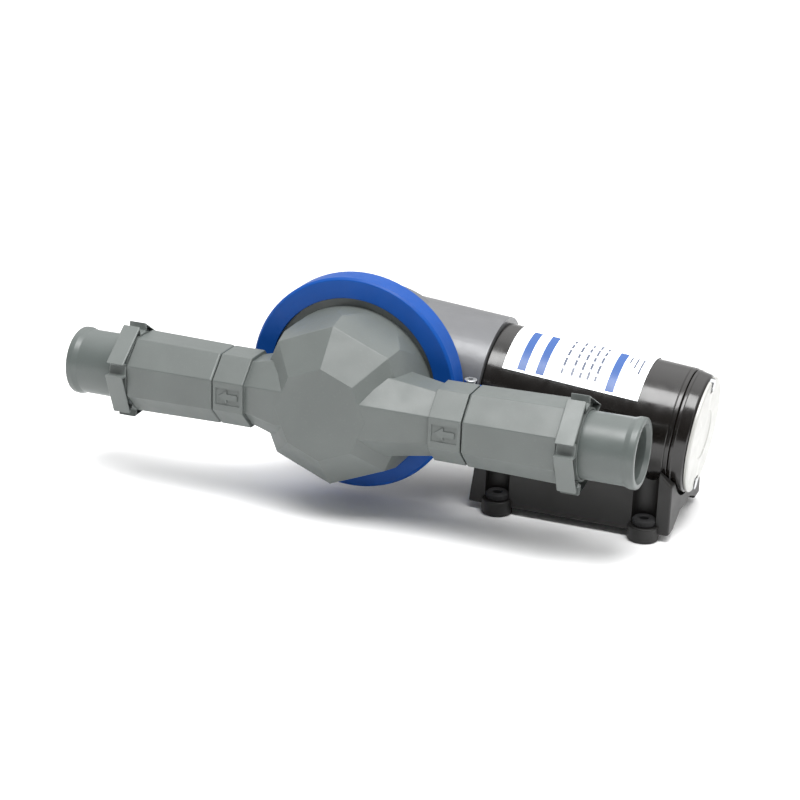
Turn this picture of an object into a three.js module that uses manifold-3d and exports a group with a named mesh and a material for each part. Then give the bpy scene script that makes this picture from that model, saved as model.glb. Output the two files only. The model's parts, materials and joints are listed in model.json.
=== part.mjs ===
// In-line diaphragm bilge pump: an electric motor and a planetary gear stage turn a crank,
// whose connecting rod works a diaphragm behind a faceted head. Two rubber duckbill valves
// in the ports keep the flow one way. Millimetres, +Z up, ports along X, head facing -Y.
//
// The layout is drawn about the front plane of the clamp ring (y = 0, centre x = z = 0).
// At the end the whole group is moved so that the origin is the centre of its underside.

import * as THREE from 'three';
import { mergeVertices } from 'three/addons/utils/BufferGeometryUtils.js';
import Module from 'manifold-3d';

const wasm = await Module();
wasm.setup();

// ---------------------------------------------------------------- driving dimensions

const GAP = 0.3;                 // clearance between separate pieces
const DEG = Math.PI / 180;

// Clamp ring, which holds the head, the diaphragm rim and the gear housing together.
const RING_R = 63.4;
const RING_INNER_R = 51.3;
const RING_DEPTH = 15;
const RING_LIP = 2.5;
const RING_WALL = 3.4;
const FLANGE_R = RING_R - RING_WALL - 2 * GAP;

// Head: a faceted dome whose centre lies a little under the ring's.
const HEAD_Z = -4;
const DOME_R = 50.2;
const DOME_FRONT = 46;
const HEAD_FLANGE = 3.5;

// Port line: everything beyond the dome is measured as a distance u from its middle.
const PORT_Y = -21.7;
const PORT_MID_X = 7.2;
const BORE_R = 17.5;
const STUB_ROOT_X = 29;
const STUB_ROOT_R = 26.2;
const STUB_END_R = 20.5;
const BAND_FROM = 56.3;
const BAND_TO = 75.3;
const BAND_R = 22.9;
const BARREL_TO = 130;
const BARREL_R_IN = 23.1;
const BARREL_R_OUT = 24.1;
const SOCKET_R = 19.5;
const SOCKET_DEPTH = 9;
const NECK_R = 20.8;
const NUT_WIDTH = 11;
const NUT_PADS = 5;
const NUT_CORNER_R = 28.5;
const NUT_BODY_R = 23.6;
const NUT_PAD_HALF = 29 * DEG;
const BARB_R = 19;               // for hose of 38 mm bore
const BARB_BORE_R = 15.5;
const LIP_R = 20;
const LIP_WIDTH = 5;
const TAIL_END = 172.6;

// Motor and gears lie on one axis, behind the ring and tipped down to the right.
const MOTOR_Y = 57;
const MOTOR_TILT = 5.1 * DEG;
const HOUSING_R = 40;
const HOUSING_FROM = -27;
const HOUSING_TO = 70;
const DRUM_R = 46;
const MOTOR_R = 36.5;
const MOTOR_WALL = 2.5;
const CAN_TO = 184.7;
const CAP_TO = 194;
const CAP_R = 34.6;
const PLATE_TO = 196.3;
const LABEL_FROM = 80.3;
const LABEL_TO = 161.2;
const LABEL_ARC = [-16, 144];
const SHAFT_R = 4;
const CRANK_THROW = 4;
const CRANK_PIN_R = 5;

// Planetary stage: module 1, so a gear's pitch radius is half its number of teeth.
const SUN_TEETH = 12;
const PLANET_TEETH = 18;
const RING_TEETH = 48;
const PLANETS = 3;
const PLANET_ORBIT = (SUN_TEETH + PLANET_TEETH) / 2;
const GEAR_FROM = 45;
const GEAR_TO = 60;

// Base: a cradle under the motor with four feet.
const BASE_Z = -72;
const BASE_LEFT = 67.5;
const BASE_RIGHT = 188;
const BASE_HALF_DEPTH = 37;
const WALL_TOP_Z = -25;
const ARCH = 4;
const WEB_Z = 11;                // height of the cradle's underside in the middle
const FOOT_X = [85, 173];
const FOOT_R = 9;
const FOOT_HEIGHT = 9;
const CHANNEL_R = 7.3;
const SCREW_R = 2.7;

// Facets: how finely round shapes are divided.
const COARSE = 8;
const MEDIUM = 20;
const FINE = 32;

// ---------------------------------------------------------------- materials

const material = (color, roughness, metalness = 0) =>
  new THREE.MeshStandardMaterial({ color, roughness, metalness });

const greyPlastic = material(0x878b8a, 0.5);
const blueAnodised = material(0x2b62a0, 0.35, 0.3);
const greyCasting = material(0x9b9ca2, 0.4, 0.2);
const blackPaint = material(0x2b2a29, 0.25, 0.2);
const blackPlastic = material(0x30302e, 0.55);
const labelFilm = material(0xf4f6f8, 0.4);
const zincPlate = material(0xdededb, 0.45, 0.5);
const steel = material(0xb5b7ba, 0.3, 0.9);
const laminations = material(0x6a6d70, 0.5, 0.7);
const copper = material(0xb26a3c, 0.35, 0.9);
const bronze = material(0xa8833f, 0.4, 0.8);
const ferrite = material(0x3c3c3f, 0.8);
const carbon = material(0x2d2d2d, 0.7);
const blackRubber = material(0x1d1d1d, 0.85);
const cardBoard = material(0x8a5a34, 0.7);

// ---------------------------------------------------------------- making solids

// A closed three.js geometry as a Manifold solid, with its faces pointing out.
function solidOf(geometry) {
  const plain = geometry.clone();
  plain.deleteAttribute('normal');
  plain.deleteAttribute('uv');
  const merged = mergeVertices(plain, 1e-4);
  const points = merged.attributes.position.array;
  const index = merged.index.array;
  const corners = [];
  let volume = 0;
  for (let i = 0; i < index.length; i += 3) {
    const [a, b, c] = [index[i], index[i + 1], index[i + 2]];
    if (a === b || b === c || c === a) continue;
    corners.push(a, b, c);
    const [p, q, r] = [a, b, c].map((k) => new THREE.Vector3().fromArray(points, 3 * k));
    volume += p.dot(q.cross(r));
  }
  if (volume < 0) corners.reverse();
  return new wasm.Manifold(new wasm.Mesh({
    numProp: 3,
    vertProperties: new Float32Array(points),
    triVerts: new Uint32Array(corners),
  }));
}

function geometryOf(solid) {
  const { vertProperties, triVerts } = solid.getMesh();
  const geometry = new THREE.BufferGeometry();
  geometry.setAttribute('position', new THREE.BufferAttribute(vertProperties, 3));
  geometry.setIndex(new THREE.BufferAttribute(triVerts, 1));
  return geometry;
}

const join = (...solids) => solids.reduce((a, b) => a.add(b));
const cut = (solid, ...tools) => tools.reduce((a, b) => a.subtract(b), solid);

// Turns a geometry made along +Y so that it lies along another axis.
const LAY = {
  y: (geometry) => geometry,
  x: (geometry) => geometry.rotateZ(-90 * DEG),
  z: (geometry) => geometry.rotateX(90 * DEG),
};

// Solid of revolution. The profile is a list of [radius, place along the axis].
function revolve(profile, axis = 'y', segments = FINE) {
  const points = profile.map(([radius, along]) => new THREE.Vector2(radius, along));
  if (profile[0][0] > 0) points.push(points[0].clone());
  return solidOf(LAY[axis](new THREE.LatheGeometry(points, segments)));
}

function rod(radius, from, to, axis = 'y', segments = MEDIUM) {
  return revolve([[0, from], [radius, from], [radius, to], [0, to]], axis, segments);
}

function tube(outer, inner, from, to, axis = 'y', segments = MEDIUM) {
  return revolve([[inner, from], [outer, from], [outer, to], [inner, to]], axis, segments);
}

function box(low, high) {
  const size = high.map((value, i) => value - low[i]);
  const middle = high.map((value, i) => (value + low[i]) / 2);
  return solidOf(new THREE.BoxGeometry(...size).translate(...middle));
}

// Octagonal taper along X with a flat facing each way, from radius to radius across corners.
function octagon(fromRadius, toRadius, from, to) {
  const length = to - from;
  const taper = new THREE.CylinderGeometry(toRadius, fromRadius, length, 8, 1, false, 22.5 * DEG);
  return solidOf(taper.rotateZ(-90 * DEG).translate((from + to) / 2, 0, 0));
}

// Flat outline in the plane across an axis, drawn out from one place to another.
function extrude(outline, from, to, axis = 'z', holes = []) {
  const shape = new THREE.Shape(outline.map(([a, b]) => new THREE.Vector2(a, b)));
  shape.holes = holes.map((hole) => new THREE.Path(hole.map(([a, b]) => new THREE.Vector2(a, b))));
  const geometry = new THREE.ExtrudeGeometry(shape, { depth: to - from, bevelEnabled: false });
  geometry.translate(0, 0, from);
  if (axis === 'x') geometry.applyMatrix4(new THREE.Matrix4().set(
    0, 0, 1, 0,
    1, 0, 0, 0,
    0, 1, 0, 0,
    0, 0, 0, 1));
  if (axis === 'y') geometry.applyMatrix4(new THREE.Matrix4().set(
    1, 0, 0, 0,
    0, 0, -1, 0,
    0, 1, 0, 0,
    0, 0, 0, 1));
  return solidOf(geometry);
}

const polar = (radius, angle) => [radius * Math.cos(angle), radius * Math.sin(angle)];

function circle(radius, count = MEDIUM, [a, b] = [0, 0]) {
  return Array.from({ length: count }, (_, i) => {
    const [x, y] = polar(radius, (2 * Math.PI * i) / count);
    return [a + x, b + y];
  });
}

// Outline of a spur gear of module 1, with thin teeth so that meshed gears stay clear.
function gearOutline(teeth, addendum, dedendum, phase = 0) {
  const pitch = teeth / 2;
  const step = (2 * Math.PI) / teeth;
  const outline = [];
  for (let i = 0; i < teeth; i += 1) {
    const middle = phase + i * step;
    outline.push(polar(pitch - dedendum, middle - 0.34 * step));
    outline.push(polar(pitch + addendum, middle - 0.12 * step));
    outline.push(polar(pitch + addendum, middle + 0.12 * step));
    outline.push(polar(pitch - dedendum, middle + 0.34 * step));
  }
  return outline;
}

// ---------------------------------------------------------------- head and clamp

// Everything beyond a plane that leans from the head's axis, seen from the dome's centre.
function beyondPlane(azimuth, tilt, distance) {
  const reach = 300;
  const normal = new THREE.Vector3(
    Math.sin(tilt) * Math.cos(azimuth),
    -Math.cos(tilt),
    Math.sin(tilt) * Math.sin(azimuth));
  const turn = new THREE.Quaternion().setFromUnitVectors(new THREE.Vector3(0, 0, 1), normal);
  const block = new THREE.BoxGeometry(reach, reach, reach).translate(0, 0, reach / 2 + distance);
  return solidOf(block.applyQuaternion(turn));
}

// Faceted like a cut stone: eight faces round a flat front, and a steeper row that meets the rim.
function domeBlank() {
  const faces = [
    { tilt: 42.5, distance: 51 },
    { tilt: 78, distance: 48.9 },
  ];
  let dome = rod(DOME_R, -DOME_FRONT, HEAD_FLANGE_FROM + 1, 'y', FINE);
  for (const { tilt, distance } of faces) {
    for (let side = 0; side < 8; side += 1) {
      const beyond = beyondPlane((22.5 + 45 * side) * DEG, tilt * DEG, distance);
      dome = dome.subtract(beyond.translate(0, 0, HEAD_Z));
    }
  }
  return dome;
}

const onPortLine = (solid) => solid.translate(0, PORT_Y, HEAD_Z);

// One port of the head, from the dome out to the band that the valve housing plugs into.
function headPort(side) {
  const bandFrom = side * PORT_MID_X + BAND_FROM;
  const bandTo = side * PORT_MID_X + BAND_TO;
  const port = join(
    octagon(STUB_ROOT_R, STUB_ROOT_R, 0, STUB_ROOT_X),
    octagon(STUB_ROOT_R, STUB_END_R, STUB_ROOT_X, bandFrom),
    octagon(BAND_R, BAND_R, bandFrom, bandTo));
  return onPortLine(side > 0 ? port : port.rotate([0, 180, 0]));
}

function headBore(side) {
  const bandTo = side * PORT_MID_X + BAND_TO;
  const bore = join(
    rod(BORE_R, 10, bandTo + 1, 'x'),
    rod(SOCKET_R, bandTo - SOCKET_DEPTH, bandTo + 1, 'x'));
  return onPortLine(side > 0 ? bore : bore.rotate([0, 180, 0]));
}

const HEAD_FLANGE_FROM = RING_LIP + GAP;
const RIM_FROM = HEAD_FLANGE_FROM + HEAD_FLANGE + GAP;
const RIM_TO = RIM_FROM + 2;
const SEAT_FROM = RIM_TO + GAP;
const SEAT_TO = RING_DEPTH - RING_LIP - GAP;

function pumpHead() {
  const flange = rod(FLANGE_R, HEAD_FLANGE_FROM, RIM_FROM - GAP, 'y', FINE);
  const chamber = revolve([
    [0, -38], [20, -38], [33, -24], [40, -8], [43, RIM_FROM], [0, RIM_FROM],
  ], 'y', FINE);
  const shell = join(domeBlank(), flange, headPort(1), headPort(-1));
  return cut(shell, chamber, headBore(1), headBore(-1));
}

// C-shaped band with a lip at each edge, split at the right, where a screw draws it closed.
function clampRing() {
  const wallR = RING_R - RING_WALL;
  const lugs = box([RING_R - 3, 3, -8], [RING_R + 13, 12, 8]);
  const hoop = revolve([
    [RING_INNER_R, 0], [RING_R - 1, 0], [RING_R, 1.5],
    [RING_R, RING_DEPTH], [RING_INNER_R + 3, RING_DEPTH],
    [RING_INNER_R + 3, RING_DEPTH - RING_LIP], [wallR, RING_DEPTH - RING_LIP],
    [wallR, RING_LIP], [RING_INNER_R, RING_LIP],
  ], 'y', FINE + COARSE);
  const split = box([RING_INNER_R - 2, -1, -1.2], [RING_R + 20, RING_DEPTH + 1, 1.2]);
  const hole = rod(2.5, -10, 10, 'z', COARSE).translate(LUG_X, LUG_Y, 0);
  return cut(join(hoop, lugs), split, hole);
}

const LUG_X = RING_R + 6.5;
const LUG_Y = 7.5;

function clampScrew() {
  const socket = rod(1.6, 11, 13, 'z', 6);
  const screw = revolve([[0, -13], [2.2, -13], [2.2, 8.3], [3.8, 8.3], [3.8, 12], [0, 12]],
    'z', COARSE);
  return cut(screw, socket).translate(LUG_X, LUG_Y, 0);
}

function clampNut() {
  return extrude(circle(4.4, 6), -11.6, -8.3, 'z', [circle(2.5, COARSE)])
    .translate(LUG_X, LUG_Y, 0);
}

// ---------------------------------------------------------------- ports and valves

// Everything on the port line is made on the right, and turned half a turn for the left.
function atPort(solid, side) {
  const placed = side > 0 ? solid : solid.rotate([0, 180, 0]);
  return onPortLine(placed).translate(PORT_MID_X, 0, 0);
}

const SPIGOT_FROM = BAND_TO - SOCKET_DEPTH + GAP + 2.5 + GAP;
const NECK_TO = BARREL_TO + 7;
const NUT_FROM = BARREL_TO + GAP;
const NUT_TO = NUT_FROM + NUT_WIDTH;

function valveHousing() {
  const body = octagon(BARREL_R_IN, BARREL_R_OUT, BAND_TO + GAP, BARREL_TO);
  const spigot = rod(SOCKET_R - GAP - 0.2, SPIGOT_FROM, BAND_TO + 1, 'x');
  const neck = rod(NECK_R, BARREL_TO - 1, NECK_TO, 'x');
  const groove = tube(SOCKET_R, 17.95, SPIGOT_FROM + 1.5, SPIGOT_FROM + 3.5, 'x');
  const bore = rod(BORE_R - 0.6, SPIGOT_FROM - 1, NECK_TO + 1, 'x');
  return cut(join(body, spigot, neck), groove, bore);
}

function portSeal() {
  const middle = SPIGOT_FROM + 2.5;
  const section = circle(0.6, 6).map(([a, b]) => [18.65 + a, middle + b]);
  return revolve(section, 'x', MEDIUM);
}

// Rings of equal point count along X, each an ellipse, closed by a fan at both ends.
function loft(rings, count = 2 * COARSE) {
  const points = [];
  for (const { along, halfY, halfZ } of rings) {
    for (let i = 0; i < count; i += 1) {
      const angle = (2 * Math.PI * i) / count;
      points.push(along, halfY * Math.cos(angle), halfZ * Math.sin(angle));
    }
  }
  const index = [];
  for (let ring = 0; ring < rings.length - 1; ring += 1) {
    for (let i = 0; i < count; i += 1) {
      const [a, b] = [ring * count + i, ring * count + ((i + 1) % count)];
      index.push(a, b, b + count, a, b + count, a + count);
    }
  }
  const ends = [[0, rings[0]], [(rings.length - 1) * count, rings[rings.length - 1]]];
  ends.forEach(([start, ring], end) => {
    const centre = points.length / 3;
    points.push(ring.along, 0, 0);
    for (let i = 0; i < count; i += 1) {
      const [a, b] = [start + i, start + ((i + 1) % count)];
      index.push(...(end === 0 ? [centre, b, a] : [centre, a, b]));
    }
  });
  const geometry = new THREE.BufferGeometry();
  geometry.setAttribute('position', new THREE.Float32BufferAttribute(points, 3));
  geometry.setIndex(index);
  return solidOf(geometry);
}

// Duckbill: a flange, and a round sleeve that narrows to a slit. It lets flow through
// towards the slit only.
function duckbill(flangeFrom, direction) {
  const flange = rod(SOCKET_R - GAP - 0.2, 0, 2.5, 'x');
  const sleeve = loft([
    { along: 1, halfY: 14.6, halfZ: 14.6 },
    { along: 7, halfY: 14.6, halfZ: 14 },
    { along: 27, halfY: 14.6, halfZ: 2 },
  ]);
  const passage = loft([
    { along: -1, halfY: 12.6, halfZ: 12.6 },
    { along: 7, halfY: 12.6, halfZ: 12 },
    { along: 28, halfY: 12.6, halfZ: 0.5 },
  ]);
  const valve = cut(join(flange, sleeve), passage);
  const turned = direction > 0 ? valve : valve.rotate([0, 180, 0]).translate(2.5, 0, 0);
  return turned.translate(flangeFrom, 0, 0);
}

function unionNut(turn) {
  const outline = [];
  for (let pad = 0; pad < NUT_PADS; pad += 1) {
    const middle = (2 * Math.PI * pad) / NUT_PADS;
    outline.push(polar(NUT_BODY_R, middle - NUT_PAD_HALF));
    outline.push(polar(NUT_CORNER_R, middle - NUT_PAD_HALF));
    outline.push(polar(NUT_CORNER_R, middle + NUT_PAD_HALF));
    outline.push(polar(NUT_BODY_R, middle + NUT_PAD_HALF));
  }
  const body = extrude(outline, NUT_FROM, NUT_TO, 'x');
  const thread = rod(NECK_R + GAP + 0.2, NUT_FROM - 1, NUT_TO - 2.5, 'x');
  const throat = rod(BARB_R + GAP + 0.1, NUT_FROM, NUT_TO + 1, 'x');
  return cut(body, thread, throat).rotate([turn / DEG, 0, 0]);
}

function hoseTail() {
  const collar = NUT_TO - 2.5 - GAP;
  return revolve([
    [BARB_BORE_R, NECK_TO + GAP], [NECK_R - 0.3, NECK_TO + GAP], [NECK_R - 0.3, collar],
    [BARB_R, collar], [BARB_R, TAIL_END - LIP_WIDTH - 1], [LIP_R, TAIL_END - LIP_WIDTH],
    [LIP_R, TAIL_END - 1], [LIP_R - 1, TAIL_END], [BARB_BORE_R + 1, TAIL_END],
    [BARB_BORE_R, TAIL_END - 1],
  ], 'x', MEDIUM);
}

// ---------------------------------------------------------------- diaphragm

const PLATE_R = 22;

function diaphragm() {
  const thick = RIM_TO - RIM_FROM;
  const roll = (radius, height) => [radius, RIM_FROM + height];
  return revolve([
    roll(3.2, 0), roll(25, 0), roll(28, 3), roll(32, 4.5), roll(36, 3), roll(38.5, 0),
    roll(FLANGE_R, 0), roll(FLANGE_R, thick), roll(39.5, thick), roll(36.6, thick + 2.6),
    roll(32, thick + 4.3), roll(27.4, thick + 2.6), roll(24.5, thick), roll(3.2, thick),
  ], 'y', FINE);
}

function frontPlate() {
  return revolve([
    [3.2, RIM_FROM - GAP], [PLATE_R, RIM_FROM - GAP], [PLATE_R - 2, RIM_FROM - 4],
    [3.2, RIM_FROM - 4],
  ], 'y', MEDIUM);
}

function rearPlate() {
  const plate = rod(PLATE_R, RIM_TO + GAP, RIM_TO + 4, 'y', MEDIUM);
  const stud = rod(6, RIM_TO + 3, RIM_TO + 10, 'y', COARSE);
  return cut(join(plate, stud), rod(3.2, RIM_TO - 1, RIM_TO + 9, 'y', COARSE));
}

function plateScrew() {
  return revolve([
    [0, RIM_FROM - 7], [5.5, RIM_FROM - 7], [5.5, RIM_FROM - 4 - GAP],
    [2.9, RIM_FROM - 4 - GAP], [2.9, RIM_TO + 8], [0, RIM_TO + 8],
  ], 'y', COARSE);
}

// ---------------------------------------------------------------- gear housing
// From here on X runs along the motor axis, from the head's axis out to the motor.

function gearHousing() {
  const frontY = SEAT_FROM - MOTOR_Y;
  const seat = rod(FLANGE_R, frontY, SEAT_TO - MOTOR_Y, 'y', FINE);
  const drum = rod(DRUM_R, SEAT_TO - MOTOR_Y - 1, 0, 'y', FINE);
  const barrel = rod(HOUSING_R, HOUSING_FROM, HOUSING_TO, 'x', FINE);
  const openings = [
    rod(41, frontY - 1, frontY + 13, 'y', FINE),
    rod(25, frontY, 0, 'y', MEDIUM),
    rod(30, HOUSING_FROM + 4, 20, 'x', FINE),
    rod(33.3, -DRUM_R - 1, HOUSING_FROM + 5, 'x', FINE),
    rod(13, 10, 60, 'x', MEDIUM),
    rod(30, 36, HOUSING_TO + 1, 'x', FINE),
  ];
  return cut(join(seat, drum, barrel), ...openings);
}

function gearboxCover() {
  return join(
    rod(33, HOUSING_FROM, HOUSING_FROM + 4.7, 'x', FINE),
    rod(14, HOUSING_FROM - 2, HOUSING_FROM + 1, 'x', MEDIUM));
}

// ---------------------------------------------------------------- gears and crank

function ringGear() {
  const inner = gearOutline(RING_TEETH, 1.25, 0.8, Math.PI / RING_TEETH);
  return extrude(circle(29.6, FINE), GEAR_FROM - 1, GEAR_TO + 1, 'x', [inner]);
}

// The sun and the planets mesh at the planet's angle, so each gets a tooth or a gap there.
function sunPinion() {
  return extrude(gearOutline(SUN_TEETH, 0.8, 1.25), GEAR_FROM - 1, GEAR_TO + 2, 'x',
    [circle(SHAFT_R + GAP, COARSE)]);
}

function planetGear(number) {
  const angle = (2 * Math.PI * number) / PLANETS;
  const [y, z] = polar(PLANET_ORBIT, angle);
  // Half a tooth of turn puts a gap against the sun's tooth on the line of centres.
  const phase = angle + Math.PI + Math.PI / PLANET_TEETH;
  const outline = gearOutline(PLANET_TEETH, 0.8, 1.25, phase);
  return extrude(outline, GEAR_FROM, GEAR_TO, 'x', [circle(3, COARSE)]).translate(0, y, z);
}

// Planet carrier, journal, web and crank pin, all one piece.
function crankCarrier() {
  const pins = Array.from({ length: PLANETS }, (_, i) => {
    const [y, z] = polar(PLANET_ORBIT, (2 * Math.PI * i) / PLANETS);
    return rod(2.6, 40, GEAR_TO + 1, 'x', COARSE).translate(0, y, z);
  });
  return join(
    rod(21, 38, GEAR_FROM - 1.5, 'x', MEDIUM),
    rod(8, 9, 39, 'x', MEDIUM),
    rod(14, 9, 15, 'x', MEDIUM),
    rod(CRANK_PIN_R, -8, 10, 'x', COARSE).translate(0, 0, CRANK_THROW),
    ...pins);
}

function crankBearing() {
  return tube(12.7, 8.3, 22, 34, 'x', MEDIUM);
}

const ROD_RING_R = 14;
const ROD_TIP = SEAT_FROM + 21 - MOTOR_Y;

function connectingRod() {
  const ring = rod(ROD_RING_R, -6, 6, 'x', MEDIUM).translate(0, 0, CRANK_THROW);
  const shank = box([-4, ROD_TIP + 4, CRANK_THROW - 4], [4, -5, CRANK_THROW + 4]);
  const eye = rod(6, -5, 5, 'x', COARSE).translate(0, ROD_TIP + 6, CRANK_THROW);
  const bigEnd = rod(9.3, -7, 7, 'x', MEDIUM).translate(0, 0, CRANK_THROW);
  const smallEnd = rod(2.5, -6, 6, 'x', COARSE).translate(0, ROD_TIP + 6, CRANK_THROW);
  return cut(join(ring, shank, eye), bigEnd, smallEnd);
}

function rodBearing() {
  return tube(9, CRANK_PIN_R + GAP, -6, 6, 'x', MEDIUM).translate(0, 0, CRANK_THROW);
}

// ---------------------------------------------------------------- motor

const CAN_FROM = HOUSING_TO + GAP;
const CAN_BORE_R = MOTOR_R - MOTOR_WALL;
const BOLT_ORBIT = 30.7;
const CRADLE_SCREW_X = [98, 156];

function motorCan() {
  const holes = CRADLE_SCREW_X.map((x) => rod(2.4, -MOTOR_R - 5, -20, 'z', COARSE).translate(x, 0, 0));
  return cut(tube(MOTOR_R, CAN_BORE_R, CAN_FROM, CAN_TO, 'x', FINE), ...holes);
}

// Points along an arc, with angles in degrees from the rear (+Y) up over the top (+Z).
function arc(radius, from, to) {
  const steps = Math.ceil((Math.abs(to - from) * FINE) / 360);
  return Array.from({ length: steps + 1 }, (_, i) =>
    polar(radius, (from + ((to - from) * i) / steps) * DEG));
}

// Printed film wrapped over the top of the can, from the front shoulder round to the back.
function label() {
  const [rear, front] = LABEL_ARC;
  const outline = [...arc(MOTOR_R + 0.7, rear, front), ...arc(MOTOR_R + GAP, front, rear)];
  return extrude(outline, LABEL_FROM, LABEL_TO, 'x');
}

function frontEndPlate() {
  const plate = join(
    rod(CAN_BORE_R - GAP, CAN_FROM, CAN_FROM + 5, 'x', FINE),
    rod(12, CAN_FROM + 1, CAN_FROM + 12, 'x', MEDIUM));
  return cut(plate, rod(8.3, CAN_FROM - 1, CAN_FROM + 13, 'x', MEDIUM), ...boltHoles(2.6));
}

function boltHoles(radius) {
  return [1, -1].map((side) =>
    rod(radius, CAN_FROM - 1, PLATE_TO + 1, 'x', COARSE).translate(0, 0, side * BOLT_ORBIT));
}

function throughBolt(side) {
  return revolve([
    [0, CAN_FROM + GAP], [2.2, CAN_FROM + GAP], [2.2, CAP_TO + GAP], [3.6, CAP_TO + GAP],
    [3.6, PLATE_TO + 0.6], [0, PLATE_TO + 0.6],
  ], 'x', COARSE).translate(0, 0, side * BOLT_ORBIT);
}

function magnet(side) {
  const [inner, outer, half] = [28.2, CAN_BORE_R - 2 * GAP, 55];
  const outline = [...arc(outer, -half, half), ...arc(inner, half, -half)];
  return extrude(outline, 92, 158, 'x').rotate([side > 0 ? 0 : 180, 0, 0]);
}

function armatureCore() {
  const slots = 12;
  const outline = [];
  for (let i = 0; i < slots; i += 1) {
    const middle = (2 * Math.PI * i) / slots;
    outline.push(polar(27.4, middle - 0.2), polar(27.4, middle + 0.2));
    outline.push(polar(20, middle + 0.24), polar(20, middle + 0.28));
  }
  return extrude(outline, 98, 152, 'x', [circle(SHAFT_R + GAP, COARSE)]);
}

function winding(from, to) {
  const middle = (from + to) / 2;
  return revolve([[9, from], [22, from], [25, middle], [22, to], [9, to]], 'x', MEDIUM);
}

function commutator() {
  return tube(12, SHAFT_R + GAP, 164, 178, 'x', MEDIUM);
}

const BRUSH_HALF = 4;

function brush(side) {
  const block = box([167, 12.4, -BRUSH_HALF], [175, 21, BRUSH_HALF]);
  return block.rotate([side > 0 ? 0 : 180, 0, 0]);
}

// Coil spring that pushes a brush in, wound about the motor's Y axis.
function brushSpring(side) {
  const [turns, steps, coilR, wireR] = [4, COARSE, 2.6, 0.5];
  const points = Array.from({ length: turns * steps + 1 }, (_, i) => {
    const [x, z] = polar(coilR, (2 * Math.PI * i) / steps);
    return new THREE.Vector3(171 + x, 22 + (8 * i) / (turns * steps), z);
  });
  const section = new THREE.Shape(circle(wireR, 4).map(([a, b]) => new THREE.Vector2(a, b)));
  const wire = new THREE.ExtrudeGeometry(section, {
    steps: turns * steps,
    extrudePath: new THREE.CatmullRomCurve3(points),
  });
  return solidOf(wire).rotate([side > 0 ? 0 : 180, 0, 0]);
}

function brushCard() {
  const holder = (side) => cut(
    box([165, 14.5, -6], [180, 32, 6]),
    box([166.5, 13, -BRUSH_HALF - GAP], [175.5, 31, BRUSH_HALF + GAP]))
    .rotate([side > 0 ? 0 : 180, 0, 0]);
  const card = tube(33.3, 13, 179, 181.5, 'x', FINE);
  return cut(join(card, holder(1), holder(-1)), ...boltHoles(2.6));
}

function motorEndCap() {
  const shell = revolve([
    [0, CAN_TO + GAP], [MOTOR_R - 0.4, CAN_TO + GAP], [CAP_R, CAP_TO - 1], [CAP_R - 1, CAP_TO],
    [0, CAP_TO],
  ], 'x', FINE);
  const hollow = tube(31 - 5, 12, CAN_TO - 1, CAP_TO - 3, 'x', MEDIUM);
  const bearingSeat = rod(8.3, CAN_TO - 1, CAP_TO - 2, 'x', MEDIUM);
  const glandHole = rod(4, 20, MOTOR_R + 5, 'y', COARSE).translate(GLAND_X, 0, 0);
  return cut(shell, hollow, bearingSeat, glandHole, ...boltHoles(2.6));
}

const GLAND_X = (CAN_TO + CAP_TO) / 2 + 0.2;

function cableGland() {
  return revolve([
    [1.8, 24], [3.7, 24], [3.7, MOTOR_R], [4.2, MOTOR_R], [3.4, MOTOR_R + 7], [1.8, MOTOR_R + 7],
  ], 'y', COARSE).translate(GLAND_X, 0, 0);
}

function motorEndPlate() {
  const notch = (side) => box(
    [CAP_TO, -4.4, side * BOLT_ORBIT - 4.4],
    [PLATE_TO + 1, 4.4, side * BOLT_ORBIT + 4.4]);
  return cut(rod(CAP_R - 0.6, CAP_TO + GAP, PLATE_TO, 'x', FINE), notch(1), notch(-1));
}

function motorShaft() {
  return rod(SHAFT_R, GEAR_FROM + 1, CAP_TO - 4, 'x', COARSE);
}

const shaftBearing = (from) => tube(8, SHAFT_R + GAP, from, from + 7, 'x', MEDIUM);

// ---------------------------------------------------------------- base

const BASE_FRONT = MOTOR_Y - BASE_HALF_DEPTH;
const BASE_BACK = MOTOR_Y + BASE_HALF_DEPTH;

// Outline of the long walls, seen from the front: leaning ends, and a low arch between feet.
const WALL_OUTLINE = [
  [BASE_LEFT, BASE_Z + ARCH], [BASE_LEFT + 5, WALL_TOP_Z], [BASE_RIGHT - 14, WALL_TOP_Z],
  [BASE_RIGHT, WALL_TOP_Z - 13], [BASE_RIGHT, BASE_Z + ARCH],
];

// Opening under the cradle from end to end, between the two rows of feet.
function tunnel() {
  const half = BASE_HALF_DEPTH - 9;
  const outline = [
    [MOTOR_Y - half, BASE_Z - 1], [MOTOR_Y + half, BASE_Z - 1],
    [MOTOR_Y + half - 3, BASE_Z + 6], [MOTOR_Y + 12, BASE_Z + WEB_Z],
    [MOTOR_Y - 12, BASE_Z + WEB_Z], [MOTOR_Y - half + 3, BASE_Z + 6],
  ];
  return extrude(outline, BASE_LEFT - 10, BASE_RIGHT + 10, 'x');
}

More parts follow.
